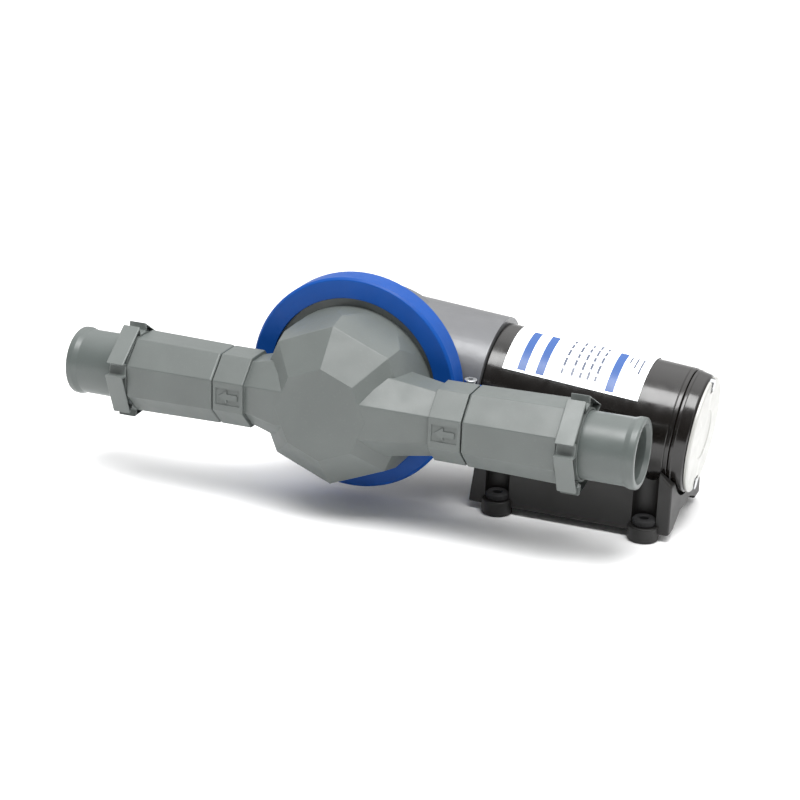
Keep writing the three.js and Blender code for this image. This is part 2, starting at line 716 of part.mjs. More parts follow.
function base() {
  const rows = [BASE_FRONT + 1, BASE_BACK - 1];
  let body = extrude(WALL_OUTLINE, -BASE_BACK, -BASE_FRONT, 'y');
  for (const y of rows) {
    for (const x of FOOT_X) {
      body = body.add(rod(FOOT_R, BASE_Z, BASE_Z + FOOT_HEIGHT, 'z', MEDIUM).translate(x, y, 0));
    }
  }
  const tools = [tunnel()];
  for (const y of rows) {
    for (const x of FOOT_X) {
      const foot = (solid) => solid.translate(x, y, 0);
      tools.push(foot(rod(CHANNEL_R, BASE_Z + FOOT_HEIGHT, 0, 'z', MEDIUM)));
      tools.push(foot(rod(5.2, BASE_Z - 1, 0, 'z', 2 * COARSE)));
    }
  }
  const onMotorLine = (solid) => solid.rotate([0, MOTOR_TILT / DEG, 0]).translate(0, MOTOR_Y, 0);
  tools.push(onMotorLine(rod(MOTOR_R + GAP, 0, 260, 'x', FINE)));
  for (const x of CRADLE_SCREW_X) {
    tools.push(onMotorLine(rod(2.5, -80, -30, 'z', COARSE).translate(x, 0, 0)));
  }
  return cut(body, ...tools);
}

function grommet(x, y) {
  const top = BASE_Z + FOOT_HEIGHT;
  return revolve([
    [SCREW_R, BASE_Z + 0.5], [4.7, BASE_Z + 0.5], [4.7, top + GAP], [6.8, top + GAP],
    [6.8, top + 3], [5.8, top + 4], [SCREW_R, top + 4],
  ], 'z', 2 * COARSE).translate(x, y, 0);
}

// Screw from under the cradle up into the wall of the can, square to the motor's axis.
function cradleScrew(x) {
  const underside = (BASE_Z + WEB_Z + x * Math.sin(MOTOR_TILT)) / Math.cos(MOTOR_TILT);
  const head = underside - 2.5 * GAP;
  const tip = -CAN_BORE_R - 0.5;
  return revolve([
    [0, head - 3], [4, head - 3], [4, head], [1.9, head], [1.9, tip], [0, tip],
  ], 'z', COARSE).translate(x, 0, 0);
}

// ---------------------------------------------------------------- assembly

const pump = new THREE.Group();
const motorLine = new THREE.Group();
motorLine.position.set(0, MOTOR_Y, 0);
motorLine.rotation.y = MOTOR_TILT;
pump.add(motorLine);

function add(parent, name, solid, look) {
  const mesh = new THREE.Mesh(geometryOf(solid), look);
  mesh.name = name;
  parent.add(mesh);
}

add(pump, 'pump_head', pumpHead(), greyPlastic);
add(pump, 'clamp_ring', clampRing(), blueAnodised);
add(pump, 'clamp_screw', clampScrew(), steel);
add(pump, 'clamp_nut', clampNut(), steel);

for (const { side, word, turn } of [
  { side: 1, word: 'inlet', turn: 134 * DEG },
  { side: -1, word: 'outlet', turn: 15.3 * DEG },
]) {
  add(pump, `${word}_valve_housing`, atPort(valveHousing(), side), greyPlastic);
  add(pump, `${word}_seal`, atPort(portSeal(), side), blackRubber);
  add(pump, `${word}_duckbill`,
    atPort(duckbill(BAND_TO - SOCKET_DEPTH + GAP, -side), side), blackRubber);
  add(pump, `${word}_union_nut`, atPort(unionNut(turn), side), greyPlastic);
  add(pump, `${word}_hose_tail`, atPort(hoseTail(), side), greyPlastic);
}

add(pump, 'diaphragm', diaphragm(), blackRubber);
add(pump, 'diaphragm_front_plate', frontPlate(), greyPlastic);
add(pump, 'diaphragm_rear_plate', rearPlate(), steel);
add(pump, 'diaphragm_screw', plateScrew(), steel);

add(motorLine, 'gear_housing', gearHousing(), greyCasting);
add(motorLine, 'gearbox_cover', gearboxCover(), greyCasting);
add(motorLine, 'ring_gear', ringGear(), steel);
add(motorLine, 'sun_pinion', sunPinion(), steel);
for (let number = 0; number < PLANETS; number += 1) {
  add(motorLine, `planet_gear_${number + 1}`, planetGear(number), bronze);
}
add(motorLine, 'crank_carrier', crankCarrier(), steel);
add(motorLine, 'crank_bearing', crankBearing(), steel);
add(motorLine, 'connecting_rod', connectingRod(), greyCasting);
add(motorLine, 'rod_bearing', rodBearing(), bronze);

add(motorLine, 'motor_can', motorCan(), blackPaint);
add(motorLine, 'motor_label', label(), labelFilm);
add(motorLine, 'motor_front_plate', frontEndPlate(), zincPlate);
add(motorLine, 'motor_end_cap', motorEndCap(), blackPlastic);
add(motorLine, 'motor_end_plate', motorEndPlate(), zincPlate);
add(motorLine, 'cable_gland', cableGland(), blackRubber);
add(motorLine, 'motor_shaft', motorShaft(), steel);
add(motorLine, 'front_shaft_bearing', shaftBearing(CAN_FROM + 3), bronze);
add(motorLine, 'rear_shaft_bearing', shaftBearing(CAN_TO - 0.5), bronze);
add(motorLine, 'armature_core', armatureCore(), laminations);
add(motorLine, 'front_winding', winding(86, 97.7), copper);
add(motorLine, 'rear_winding', winding(152.3, 161), copper);
add(motorLine, 'commutator', commutator(), copper);
add(motorLine, 'brush_card', brushCard(), cardBoard);
for (const { side, word } of [{ side: 1, word: 'rear' }, { side: -1, word: 'front' }]) {
  add(motorLine, `${word}_magnet`, magnet(side), ferrite);
  add(motorLine, `${word}_brush`, brush(side), carbon);
  add(motorLine, `${word}_brush_spring`, brushSpring(side), steel);
}
for (const { side, word } of [{ side: 1, word: 'upper' }, { side: -1, word: 'lower' }]) {
  add(motorLine, `${word}_through_bolt`, throughBolt(side), steel);
}

add(pump, 'base', base(), blackPlastic);
for (const [row, y] of [['front', BASE_FRONT + 1], ['rear', BASE_BACK - 1]]) {
  FOOT_X.forEach((x, i) => add(pump, `${row}_grommet_${i + 1}`, grommet(x, y), blackRubber));
}
CRADLE_SCREW_X.forEach((x, i) => add(motorLine, `cradle_screw_${i + 1}`, cradleScrew(x), steel));

// The origin is the centre of the underside.
pump.updateMatrixWorld(true);
const extent = new THREE.Box3().setFromObject(pump, true);
pump.position.set(
  -(extent.min.x + extent.max.x) / 2,
  -(extent.min.y + extent.max.y) / 2,
  -extent.min.z);

export default pump;
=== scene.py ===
"""Looks of an in-line diaphragm bilge pump, built round its CAD frame. Metres, +Z up.

Every piece is made about the line that it belongs to: the port line on either side or the motor's
axis, with +X along it, or the ring's axis, with Y = 0 at the ring's front face. Main sizes come from
the CAD nodes, measured from those lines, and the other sizes are named below.
"""
import json
import math

import bmesh
import bpy
from mathutils import Matrix, Vector


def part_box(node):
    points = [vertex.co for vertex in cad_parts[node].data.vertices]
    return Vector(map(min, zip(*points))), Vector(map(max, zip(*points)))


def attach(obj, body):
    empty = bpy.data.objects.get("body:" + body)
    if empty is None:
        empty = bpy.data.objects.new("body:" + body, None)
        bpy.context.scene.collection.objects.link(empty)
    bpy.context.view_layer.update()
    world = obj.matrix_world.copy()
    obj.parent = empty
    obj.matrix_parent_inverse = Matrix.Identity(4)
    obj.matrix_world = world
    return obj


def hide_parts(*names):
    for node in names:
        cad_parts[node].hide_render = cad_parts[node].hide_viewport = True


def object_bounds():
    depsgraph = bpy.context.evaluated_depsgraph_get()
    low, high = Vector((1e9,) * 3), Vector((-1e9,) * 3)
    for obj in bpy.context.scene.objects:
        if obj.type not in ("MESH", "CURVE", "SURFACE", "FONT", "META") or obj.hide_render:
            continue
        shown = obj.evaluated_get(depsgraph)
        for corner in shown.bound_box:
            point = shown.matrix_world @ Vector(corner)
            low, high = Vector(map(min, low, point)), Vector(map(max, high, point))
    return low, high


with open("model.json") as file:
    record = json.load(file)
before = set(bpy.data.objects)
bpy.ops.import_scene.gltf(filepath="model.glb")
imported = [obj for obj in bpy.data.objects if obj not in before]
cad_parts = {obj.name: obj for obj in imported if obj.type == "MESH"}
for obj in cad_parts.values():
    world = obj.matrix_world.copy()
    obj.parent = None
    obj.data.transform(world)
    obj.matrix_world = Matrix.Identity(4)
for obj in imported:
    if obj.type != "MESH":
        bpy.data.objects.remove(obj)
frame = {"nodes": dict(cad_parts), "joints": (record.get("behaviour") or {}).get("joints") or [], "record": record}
CAD_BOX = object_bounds()

MM = 0.001
DEG = math.pi / 180
TURN = 2 * math.pi
TINY = 1e-7
SEGMENTS = 128                 # sides of a turned surface
HOLE_SEGMENTS = 32             # sides of a small hole
SMALL_SEGMENTS = 48            # sides of a small turned piece
FILLET_STEPS = 4               # straight pieces in a rounded corner
PAST = 1 * MM                  # how far a cutting solid runs past what it cuts, and joined ones overlap

# Roundings of edges, from crisp to soft.
CRISP = 0.2 * MM
FINE = 0.3 * MM
EDGE = 0.4 * MM
BLUNT = 0.5 * MM
EASED = 0.6 * MM
SOFT = 0.8 * MM

# ---------------------------------------------------------------- the lines that pieces lie on

JOINTS = {joint["name"]: joint for joint in frame["joints"]}


def joint_point(name):
    return Vector(JOINTS[name]["pos_m"])


def motor_line():
    """Place on the motor's axis, in the plane of the ring's axis, with +X along the motor."""
    axis = Vector(JOINTS["armature_turn"]["axis"])
    point = joint_point("armature_turn")
    start = point + axis * ((joint_point("head_turn").x - point.x) / axis.x)
    return Matrix.Translation(start) @ Matrix.Rotation(math.atan2(-axis.z, axis.x), 4, "Y")


def ring_front():
    """Place at the middle of the clamp ring's front face, with the row's own axes."""
    centre = joint_point("head_turn")
    centre.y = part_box("clamp_ring")[0].y
    return Matrix.Translation(centre)


FRONT = ring_front()
INLET = Matrix.Translation((joint_point("inlet_nut_turn") + joint_point("outlet_nut_turn")) / 2)
OUTLET = INLET @ Matrix.Rotation(180 * DEG, 4, "Y")
MOTOR = motor_line()
UP = Matrix.Rotation(-90 * DEG, 4, "Y")                  # turns +X up


def reach(node, place):
    """Lowest and highest corner of a CAD node, measured in a place."""
    back = place.inverted()
    points = [back @ vertex.co for vertex in frame["nodes"][node].data.vertices]
    low = Vector(min(point[i] for point in points) for i in range(3))
    high = Vector(max(point[i] for point in points) for i in range(3))
    return low, high


def middle(node, place):
    """Middle of a CAD node's box, measured in a place."""
    low, high = reach(node, place)
    return (low + high) / 2


# ---------------------------------------------------------------- making solids

def rounded(outline):
    """Points of an outline (a, b, rounding) whose corners are turned into curves."""
    points = []
    for i, (a, b, rounding) in enumerate(outline):
        corner = Vector((a, b))
        if not rounding:
            points.append(corner)
            continue
        before = Vector(outline[i - 1][:2]) - corner
        after = Vector(outline[(i + 1) % len(outline)][:2]) - corner
        wanted = rounding / math.tan(before.angle(after) / 2)
        length = min(wanted, 0.48 * before.length, 0.48 * after.length)
        start = corner + before.normalized() * length
        end = corner + after.normalized() * length
        for step in range(FILLET_STEPS + 1):
            t = step / FILLET_STEPS
            points.append(start * (1 - t) ** 2 + corner * 2 * t * (1 - t) + end * t ** 2)
    return points


def turned(outline, segments=SEGMENTS):
    """Solid made by turning a closed outline of (along, radius, rounding) about X."""
    solid = bmesh.new()
    rings = []
    for along, radius in rounded(outline):
        if radius < TINY:
            rings.append([solid.verts.new((along, 0, 0))] * segments)
            continue
        angles = [TURN * i / segments for i in range(segments)]
        rings.append([solid.verts.new((along, radius * math.cos(angle), radius * math.sin(angle)))
                      for angle in angles])
    for ring, following in zip(rings, rings[1:] + rings[:1]):
        for i in range(segments):
            k = (i + 1) % segments
            corners = list(dict.fromkeys((ring[i], ring[k], following[k], following[i])))
            if len(corners) > 2:
                solid.faces.new(corners)
    return facing_out(solid)


def facing_out(solid):
    bmesh.ops.recalc_face_normals(solid, faces=solid.faces)
    return solid


def disc(radius, start, end, rounding=0.0, segments=SEGMENTS):
    return turned([(start, 0, 0), (start, radius, rounding), (end, radius, rounding), (end, 0, 0)],
                  segments)


def lofted(sections):
    """Solid through rings of points that have the same count, closed at both ends."""
    solid = bmesh.new()
    rings = [[solid.verts.new(point) for point in section] for section in sections]
    for ring, following in zip(rings, rings[1:]):
        for i in range(len(ring)):
            k = (i + 1) % len(ring)
            solid.faces.new((ring[i], ring[k], following[k], following[i]))
    solid.faces.new(rings[0])
    solid.faces.new(rings[-1])
    return facing_out(solid)


def drawn(outline, start, end):
    """Solid made by drawing a flat outline of (y, z) along X."""
    return lofted([[(along, y, z) for y, z in outline] for along in (start, end)])


def block(low, high):
    outline = [(low[1], low[2]), (high[1], low[2]), (high[1], high[2]), (low[1], high[2])]
    return drawn(outline, low[0], high[0])


def octagonal(*sections):
    """Eight-sided solid with a flat facing each way. A section is (along, radius over corners)."""
    angles = [(22.5 + 45 * i) * DEG for i in range(8)]
    return lofted([[(along, radius * math.cos(angle), radius * math.sin(angle)) for angle in angles]
                   for along, radius in sections])


def soften(solid, width, least=15 * DEG, shortest=0.0, segments=3):
    """Rounds every edge that turns by more than a least angle and isn't too short."""
    edges = [edge for edge in solid.edges if len(edge.link_faces) == 2
             and edge.calc_face_angle() > least and edge.calc_length() > shortest]
    bmesh.ops.bevel(solid, geom=edges, offset=width, segments=segments, profile=0.5,
                    affect="EDGES", clamp_overlap=True)
    return solid


def moved(solid, matrix):
    bmesh.ops.transform(solid, matrix=matrix, verts=solid.verts)
    return solid


def shift(solid, x=0.0, y=0.0, z=0.0):
    return moved(solid, Matrix.Translation((x, y, z)))


def turn(solid, angle, axis):
    return moved(solid, Matrix.Rotation(angle, 4, axis))


def scratch_object(solid):
    mesh = bpy.data.meshes.new("scratch")
    solid.to_mesh(mesh)
    solid.free()
    thing = bpy.data.objects.new("scratch", mesh)
    bpy.context.scene.collection.objects.link(thing)
    return thing


def combined(operation, solid, tools):
    """The solid after a boolean operation with each tool in turn."""
    body, *others = [scratch_object(item) for item in (solid, *tools)]
    for other in others:
        modifier = body.modifiers.new(operation, "BOOLEAN")
        modifier.operation = operation
        modifier.solver = "EXACT"
        modifier.object = other
    bpy.context.view_layer.update()
    result = bmesh.new()
    result.from_object(body, bpy.context.evaluated_depsgraph_get())
    for thing in (body, *others):
        bpy.data.meshes.remove(thing.data)
    return result


def join(solid, *tools):
    return combined("UNION", solid, tools)


def cut(solid, *tools):
    return combined("DIFFERENCE", solid, tools)


def arc(radius, start, end, steps):
    """Points (y, z) along an arc, from the rear (+Y) at 0 degrees over the top (+Z)."""
    angles = [start + (end - start) * i / steps for i in range(steps + 1)]
    return [(radius * math.cos(angle), radius * math.sin(angle)) for angle in angles]


# ---------------------------------------------------------------- materials

def linear(red, green, blue):
    """Scene-linear colour of an sRGB one given from 0 to 255."""
    def channel(value):
        share = value / 255
        return share / 12.92 if share <= 0.04045 else ((share + 0.055) / 1.055) ** 2.4
    return (channel(red), channel(green), channel(blue), 1.0)


class Look:
    """A principled material with helpers for the noise that gives it its grain."""

    def __init__(self, name, roughness, metallic=0.0, coat=0.0, specular=0.5):
        self.material = bpy.data.materials.new(name)
        self.material.use_nodes = True
        self.nodes = self.material.node_tree.nodes
        self.links = self.material.node_tree.links
        self.shader = self.nodes["Principled BSDF"]
        self.shader.inputs["Roughness"].default_value = roughness
        self.shader.inputs["Metallic"].default_value = metallic
        self.shader.inputs["Coat Weight"].default_value = coat
        self.shader.inputs["Coat Roughness"].default_value = 0.08
        self.shader.inputs["Specular IOR Level"].default_value = specular
        self.place = self.nodes.new("ShaderNodeTexCoord").outputs["Object"]

    def stretched(self, scale):
        mapping = self.nodes.new("ShaderNodeMapping")
        mapping.inputs["Scale"].default_value = scale
        self.links.new(self.place, mapping.inputs["Vector"])
        return mapping.outputs["Vector"]

    def noise(self, size, detail=2.0, source=None, distortion=0.0):
        """Noise whose features measure about size metres."""
        texture = self.nodes.new("ShaderNodeTexNoise")
        texture.inputs["Scale"].default_value = 1 / size
        texture.inputs["Detail"].default_value = detail
        texture.inputs["Distortion"].default_value = distortion
        self.links.new(source or self.place, texture.inputs["Vector"])
        return texture.outputs["Fac"]

    def ramp(self, source, low, high, low_value, high_value):
        """Source values from low to high, spread from low_value to high_value."""
        spread = self.nodes.new("ShaderNodeMapRange")
        spread.inputs["From Min"].default_value = low
        spread.inputs["From Max"].default_value = high
        spread.inputs["To Min"].default_value = low_value
        spread.inputs["To Max"].default_value = high_value
        self.links.new(source, spread.inputs["Value"])
        return spread.outputs["Result"]

    def mixed(self, factor, first, second):
        mix = self.nodes.new("ShaderNodeMix")
        mix.data_type = "RGBA"
        self.links.new(factor, mix.inputs["Factor"])
        for socket, value in (("A", first), ("B", second)):
            target = next(item for item in mix.inputs if item.name == socket and item.type == "RGBA")
            if isinstance(value, tuple):
                target.default_value = value
            else:
                self.links.new(value, target)
        return next(item for item in mix.outputs if item.type == "RGBA")

    def colour(self, source):
        self.links.new(source, self.shader.inputs["Base Color"])

    def roughness(self, source):
        self.links.new(source, self.shader.inputs["Roughness"])

    def bump(self, source, depth, strength=1.0):
        """Relief of a depth in metres. Later calls lie on top of earlier ones."""
        node = self.nodes.new("ShaderNodeBump")
        node.inputs["Distance"].default_value = depth
        node.inputs["Strength"].default_value = strength
        self.links.new(source, node.inputs["Height"])
        previous = self.shader.inputs["Normal"]
        if previous.is_linked:
            self.links.new(previous.links[0].from_socket, node.inputs["Normal"])
        self.links.new(node.outputs["Normal"], previous)

    def edges(self, low=0.52, high=0.62):
        """1 along worn outer edges, 0 elsewhere."""
        geometry = self.nodes.new("ShaderNodeNewGeometry")
        return self.ramp(geometry.outputs["Pointiness"], low, high, 0.0, 1.0)


def shaded(colour, factor):
    return tuple(channel * factor for channel in colour[:3]) + (1.0,)


def moulded(name, colour, roughness, grain=0.45 * MM, depth=0.02 * MM, contrast=0.06):
    """Moulded plastic: a fine spark-eroded grain, and faint flow clouds in tint and gloss."""
    look = Look(name, roughness)
    clouds = look.noise(35 * MM, 3.0, distortion=0.6)
    tint = look.mixed(look.ramp(clouds, 0.3, 0.7, 0.0, 1.0),
                      shaded(colour, 1 - contrast), shaded(colour, 1 + contrast))
    specks = look.ramp(look.noise(1.1 * MM, 1.0), 0.62, 0.72, 0.0, 0.35)
    look.colour(look.mixed(specks, tint, shaded(colour, 1 + 3 * contrast)))
    look.roughness(look.ramp(look.noise(12 * MM, 4.0), 0.3, 0.7, roughness - 0.05, roughness + 0.07))
    look.bump(look.noise(grain, 2.0), depth)
    look.bump(look.noise(9 * MM, 1.0), 0.08 * MM, 0.35)
    return look.material


def coated(name, colour, roughness, metallic, peel, coat=0.0, contrast=0.05, specular=0.5):
    """Paint or anodising on metal, with orange peel and slightly rubbed edges."""
    look = Look(name, roughness, metallic, coat, specular)
    clouds = look.ramp(look.noise(20 * MM, 4.0, distortion=0.8), 0.3, 0.7, 0.0, 1.0)
    tint = look.mixed(clouds, shaded(colour, 1 - contrast), shaded(colour, 1 + contrast))
    look.colour(look.mixed(look.edges(), tint, shaded(colour, 1.5)))
    look.roughness(look.ramp(look.noise(6 * MM, 5.0), 0.3, 0.75, roughness - 0.05, roughness + 0.08))
    look.bump(look.noise(1.6 * MM, 2.0), peel)
    return look.material


def machined(name, colour, roughness, streak=(1.0, 14.0, 14.0), contrast=0.12):
    """Bare metal with fine tool marks across it."""
    look = Look(name, roughness, 1.0)
    lines = look.noise(0.9 * MM, 3.0, look.stretched(streak))
    look.colour(look.mixed(lines, shaded(colour, 1 - contrast), shaded(colour, 1 + contrast)))
    look.roughness(look.ramp(look.noise(4 * MM, 3.0), 0.3, 0.7, roughness - 0.06, roughness + 0.1))
    look.bump(lines, 0.03 * MM)
    return look.material


def rubber(name, colour):
    """Matt rubber with a bloom of dust in its pores."""
    look = Look(name, 0.75, specular=0.35)
    bloom = look.ramp(look.noise(4 * MM, 4.0), 0.45, 0.75, 0.0, 0.5)
    look.colour(look.mixed(bloom, colour, shaded(colour, 2.2)))
    look.bump(look.noise(0.5 * MM, 3.0), 0.05 * MM)
    return look.material


LOOKS = {
    "grey_plastic": moulded("grey_plastic", linear(93, 98, 96), 0.42),
    "nut_plastic": moulded("nut_plastic", linear(100, 105, 103), 0.42),
    "tail_plastic": moulded("tail_plastic", linear(86, 92, 90), 0.36),
    "blue_ring": coated("blue_ring", linear(1, 68, 146), 0.42, 0.0, 0.03 * MM, specular=0.22),
    "housing_grey": coated("housing_grey", linear(103, 104, 106), 0.36, 0.25, 0.03 * MM, 0.1),
    "black_paint": coated("black_paint", linear(17, 14, 12), 0.2, 0.0, 0.01 * MM, 0.2),
    "label_film": coated("label_film", linear(248, 250, 252), 0.3, 0.0, 0.01 * MM, 0.2, 0.015),
    "black_plastic": moulded("black_plastic", linear(20, 19, 18), 0.46, depth=0.03 * MM),
    "end_plate": coated("end_plate", linear(178, 178, 174), 0.38, 0.1, 0.02 * MM, 0.1, 0.03),
    "steel": machined("steel", linear(186, 188, 190), 0.3),
    "laminations": machined("laminations", linear(128, 130, 133), 0.5, (60.0, 1.0, 1.0), 0.3),
    "copper": machined("copper", linear(196, 112, 66), 0.34, (8.0, 1.0, 1.0), 0.2),
    "bronze": machined("bronze", linear(184, 148, 92), 0.42, (1.0, 6.0, 6.0)),
    "ferrite": coated("ferrite", linear(62, 62, 66), 0.7, 0.0, 0.06 * MM),
    "carbon": moulded("carbon", linear(46, 46, 46), 0.6, 0.3 * MM, 0.05 * MM),
    "card": moulded("card", linear(132, 88, 54), 0.55, 0.6 * MM, 0.04 * MM, 0.15),
    "black_rubber": rubber("black_rubber", linear(30, 30, 31)),
}


def blue_print():
    return moulded("blue_print", linear(36, 80, 146), 0.34, contrast=0.04)


def grey_print():
    return moulded("grey_print", linear(84, 92, 110), 0.34, contrast=0.04)


# ---------------------------------------------------------------- turning solids into pieces

def add_piece(name, solid, place, body, slot, replaces=(), look=None, smooth=32 * DEG):
    mesh = bpy.data.meshes.new(name)
    bmesh.ops.remove_doubles(solid, verts=solid.verts, dist=TINY)
    solid.to_mesh(mesh)
    solid.free()
    mesh.transform(place)
    mesh.shade_smooth()
    mesh.set_sharp_from_angle(angle=smooth)
    mesh.materials.clear()
    mesh.materials.append(look or LOOKS[slot])
    piece = bpy.data.objects.new(name, mesh)
    bpy.context.scene.collection.objects.link(piece)
    evened = piece.modifiers.new("even_normals", "WEIGHTED_NORMAL")
    evened.keep_sharp = True
    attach(piece, body)
    if replaces:
        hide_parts(*replaces)
    return piece


# ---------------------------------------------------------------- pump head

# The dome's facets lie in two rows: how far a row leans from the ring's axis, and how far its
# facets stand from the dome's middle. Each row has a facet at every azimuth.
FACET_ROWS = ((42.5 * DEG, 51.0 * MM), (78 * DEG, 48.9 * MM))
FACET_AZIMUTHS = [side * (22.5 + 45 * i) * DEG for side in (1, -1) for i in range(4)]
DOME_R = 50.2 * MM
FLANGE_FRONT = 2.8 * MM                  # behind the ring's front face
HEAD_EDGE = 0.5 * MM                     # rounding of the head's edges
FLATTEST_RIDGE = 8 * DEG                 # edges of the dome that turn by less stay sharp
SHORTEST_RIDGE = 4 * MM                  # and so do shorter ones
SAME_POINT = 0.01 * MM                   # corners of the dome closer than this become one
CHAMBER = ((38, 20), (24, 33), (8, 40))  # steps of the hollow behind the dome, in mm
CHAMBER_R = 43 * MM
STUB_ROOT_X = 29 * MM                    # where the port leaves the dome
STUB_ROOT_R = 26.2 * MM
STUB_END_R = 20.5 * MM
BAND_WIDTH = 19 * MM
BAND_R = 22.9 * MM
BORE_R = 17.5 * MM
BORE_FROM = 10 * MM                      # from the middle of the chamber
SOCKET_R = 19.5 * MM
SOCKET_DEPTH = 9 * MM
ARROW_LENGTH = 15 * MM
ARROW_HEIGHT = 10 * MM
ARROW_DEPTH = 0.7 * MM
ARROW_MARGIN = 1.5 * MM
ARROW_NECK = 0.5 * MM                    # where the head ends, from the arrow's middle
SHAFT_HALF = 0.17 * ARROW_HEIGHT
WING_HALF = 0.38 * ARROW_HEIGHT
FLAT = math.cos(22.5 * DEG)              # an octagon's radius at its flats, as a share


def beyond(solid, azimuth, tilt, distance):
    """Cuts away what lies beyond a facet's plane, and closes the cut."""
    normal = Vector((math.sin(tilt) * math.cos(azimuth), -math.cos(tilt),
                     math.sin(tilt) * math.sin(azimuth)))
    everything = solid.verts[:] + solid.edges[:] + solid.faces[:]
    sliced = bmesh.ops.bisect_plane(solid, geom=everything, plane_co=normal * distance,
                                    plane_no=normal, clear_outer=True)
    rim = [item for item in sliced["geom_cut"] if isinstance(item, bmesh.types.BMEdge)]
    if rim:
        bmesh.ops.edgeloop_fill(solid, edges=rim)


def dome(front, back):
    solid = turn(disc(DOME_R, front, back), 90 * DEG, "Z")
    for tilt, distance in FACET_ROWS:
        for azimuth in FACET_AZIMUTHS:
            beyond(solid, azimuth, tilt, distance)
    bmesh.ops.remove_doubles(solid, verts=solid.verts, dist=SAME_POINT)
    return soften(facing_out(solid), HEAD_EDGE, FLATTEST_RIDGE, SHORTEST_RIDGE)


def head_ports(left, right):
    """The two ports as one solid: a band at each end, and stubs that taper out to the bands."""
    inner_left, inner_right = left + BAND_WIDTH, right - BAND_WIDTH
    return soften(octagonal(
        (left, BAND_R), (inner_left, BAND_R), (inner_left, STUB_END_R), (-STUB_ROOT_X, STUB_ROOT_R),
        (STUB_ROOT_X, STUB_ROOT_R), (inner_right, STUB_END_R), (inner_right, BAND_R),
        (right, BAND_R)), HEAD_EDGE)


def head_bore(start, end, inward):
    """Bore from the chamber out to a port's end, with the socket that the valve sits in."""
    outer = end - inward * PAST
    return [disc(BORE_R, start, outer), disc(SOCKET_R, end + inward * SOCKET_DEPTH, outer)]


def arrow_recess(along, front):
    """Shallow rectangular recess that leaves an arrow standing. It points along -X."""
    low, high = -ARROW_LENGTH / 2, ARROW_LENGTH / 2
    half = ARROW_HEIGHT / 2
    field = soften(block((low, -ARROW_DEPTH, -half), (high, ARROW_DEPTH, half)), CRISP)
    tip, neck, tail = low + ARROW_MARGIN, -ARROW_NECK, high - ARROW_MARGIN
    outline = [(tip, 0), (neck, WING_HALF), (neck, SHAFT_HALF), (tail, SHAFT_HALF),
               (tail, -SHAFT_HALF), (neck, -SHAFT_HALF), (neck, -WING_HALF)]
    arrow = lofted([[(x, y, z) for x, z in outline] for y in (-2 * ARROW_DEPTH, 2 * ARROW_DEPTH)])
    return shift(cut(field, arrow), along, front)


def pump_head():
    low, high = reach("pump_head", FRONT)
    port_line = (FRONT.inverted() @ INLET).translation
    around_dome = Vector((0, 0, port_line.z))
    flange = turn(disc(high.z, FLANGE_FRONT, high.y, HEAD_EDGE), 90 * DEG, "Z")
    hollow = [(-depth * MM, radius * MM, 0) for depth, radius in CHAMBER]
    back = high.y + PAST
    hollow = [(hollow[0][0], 0, 0), *hollow, (back, CHAMBER_R, 0), (back, 0, 0)]
    added = [flange]
    removed = [turn(turned(hollow), 90 * DEG, "Z")]
    added.append(shift(head_ports(low.x, high.x), y=port_line.y, z=port_line.z))
    for start, end, inward in ((BORE_FROM, high.x, -1), (-BORE_FROM, low.x, 1)):
        for solid in head_bore(start, end, inward):
            removed.append(shift(solid, y=port_line.y, z=port_line.z))
    band_front = port_line.y - BAND_R * FLAT
    for along in (high.x - BAND_WIDTH / 2, low.x + BAND_WIDTH / 2):
        removed.append(shift(arrow_recess(along, band_front), z=port_line.z))
    shell = join(moved(dome(low.y, high.y - PAST), Matrix.Translation(around_dome)), *added)
    add_piece("head_casting", cut(shell, *removed), FRONT, "head", "grey_plastic", ["pump_head"])


# ---------------------------------------------------------------- clamp ring

RING_INNER_R = 51.3 * MM
RING_LIP = 2.5 * MM
RING_WALL = 3.4 * MM
RING_BEVEL = 1.3 * MM
RING_SHOULDER = 0.9 * MM                 # rounding on both sides of the bevel
REAR_LIP_R = RING_INNER_R + 3 * MM
SPLIT = 2.4 * MM
LUG_HALF = 8 * MM
LUG_ROOT = 3 * MM                        # how far the lugs reach into the hoop
LUG_EDGE = 1.2 * MM
LUG_DEPTH = (3 * MM, 12 * MM)
SCREW_HOLE_R = 2.5 * MM
CLAMP_NUT_R = 4.4 * MM
WASHER_GAP = 0.3 * MM
CLAMP_HEAD_R = 3.8 * MM
CLAMP_SHANK_R = 2.2 * MM
HEX_KEY_R = 1.7 * MM
HEX_KEY_DEPTH = 2 * MM


def lug_line():
    """Place on the clamp screw's axis, with +X along the screw, up to its head."""
    screw = middle("clamp_screw", FRONT)
    return FRONT @ Matrix.Translation((screw.x, screw.y, 0)) @ UP


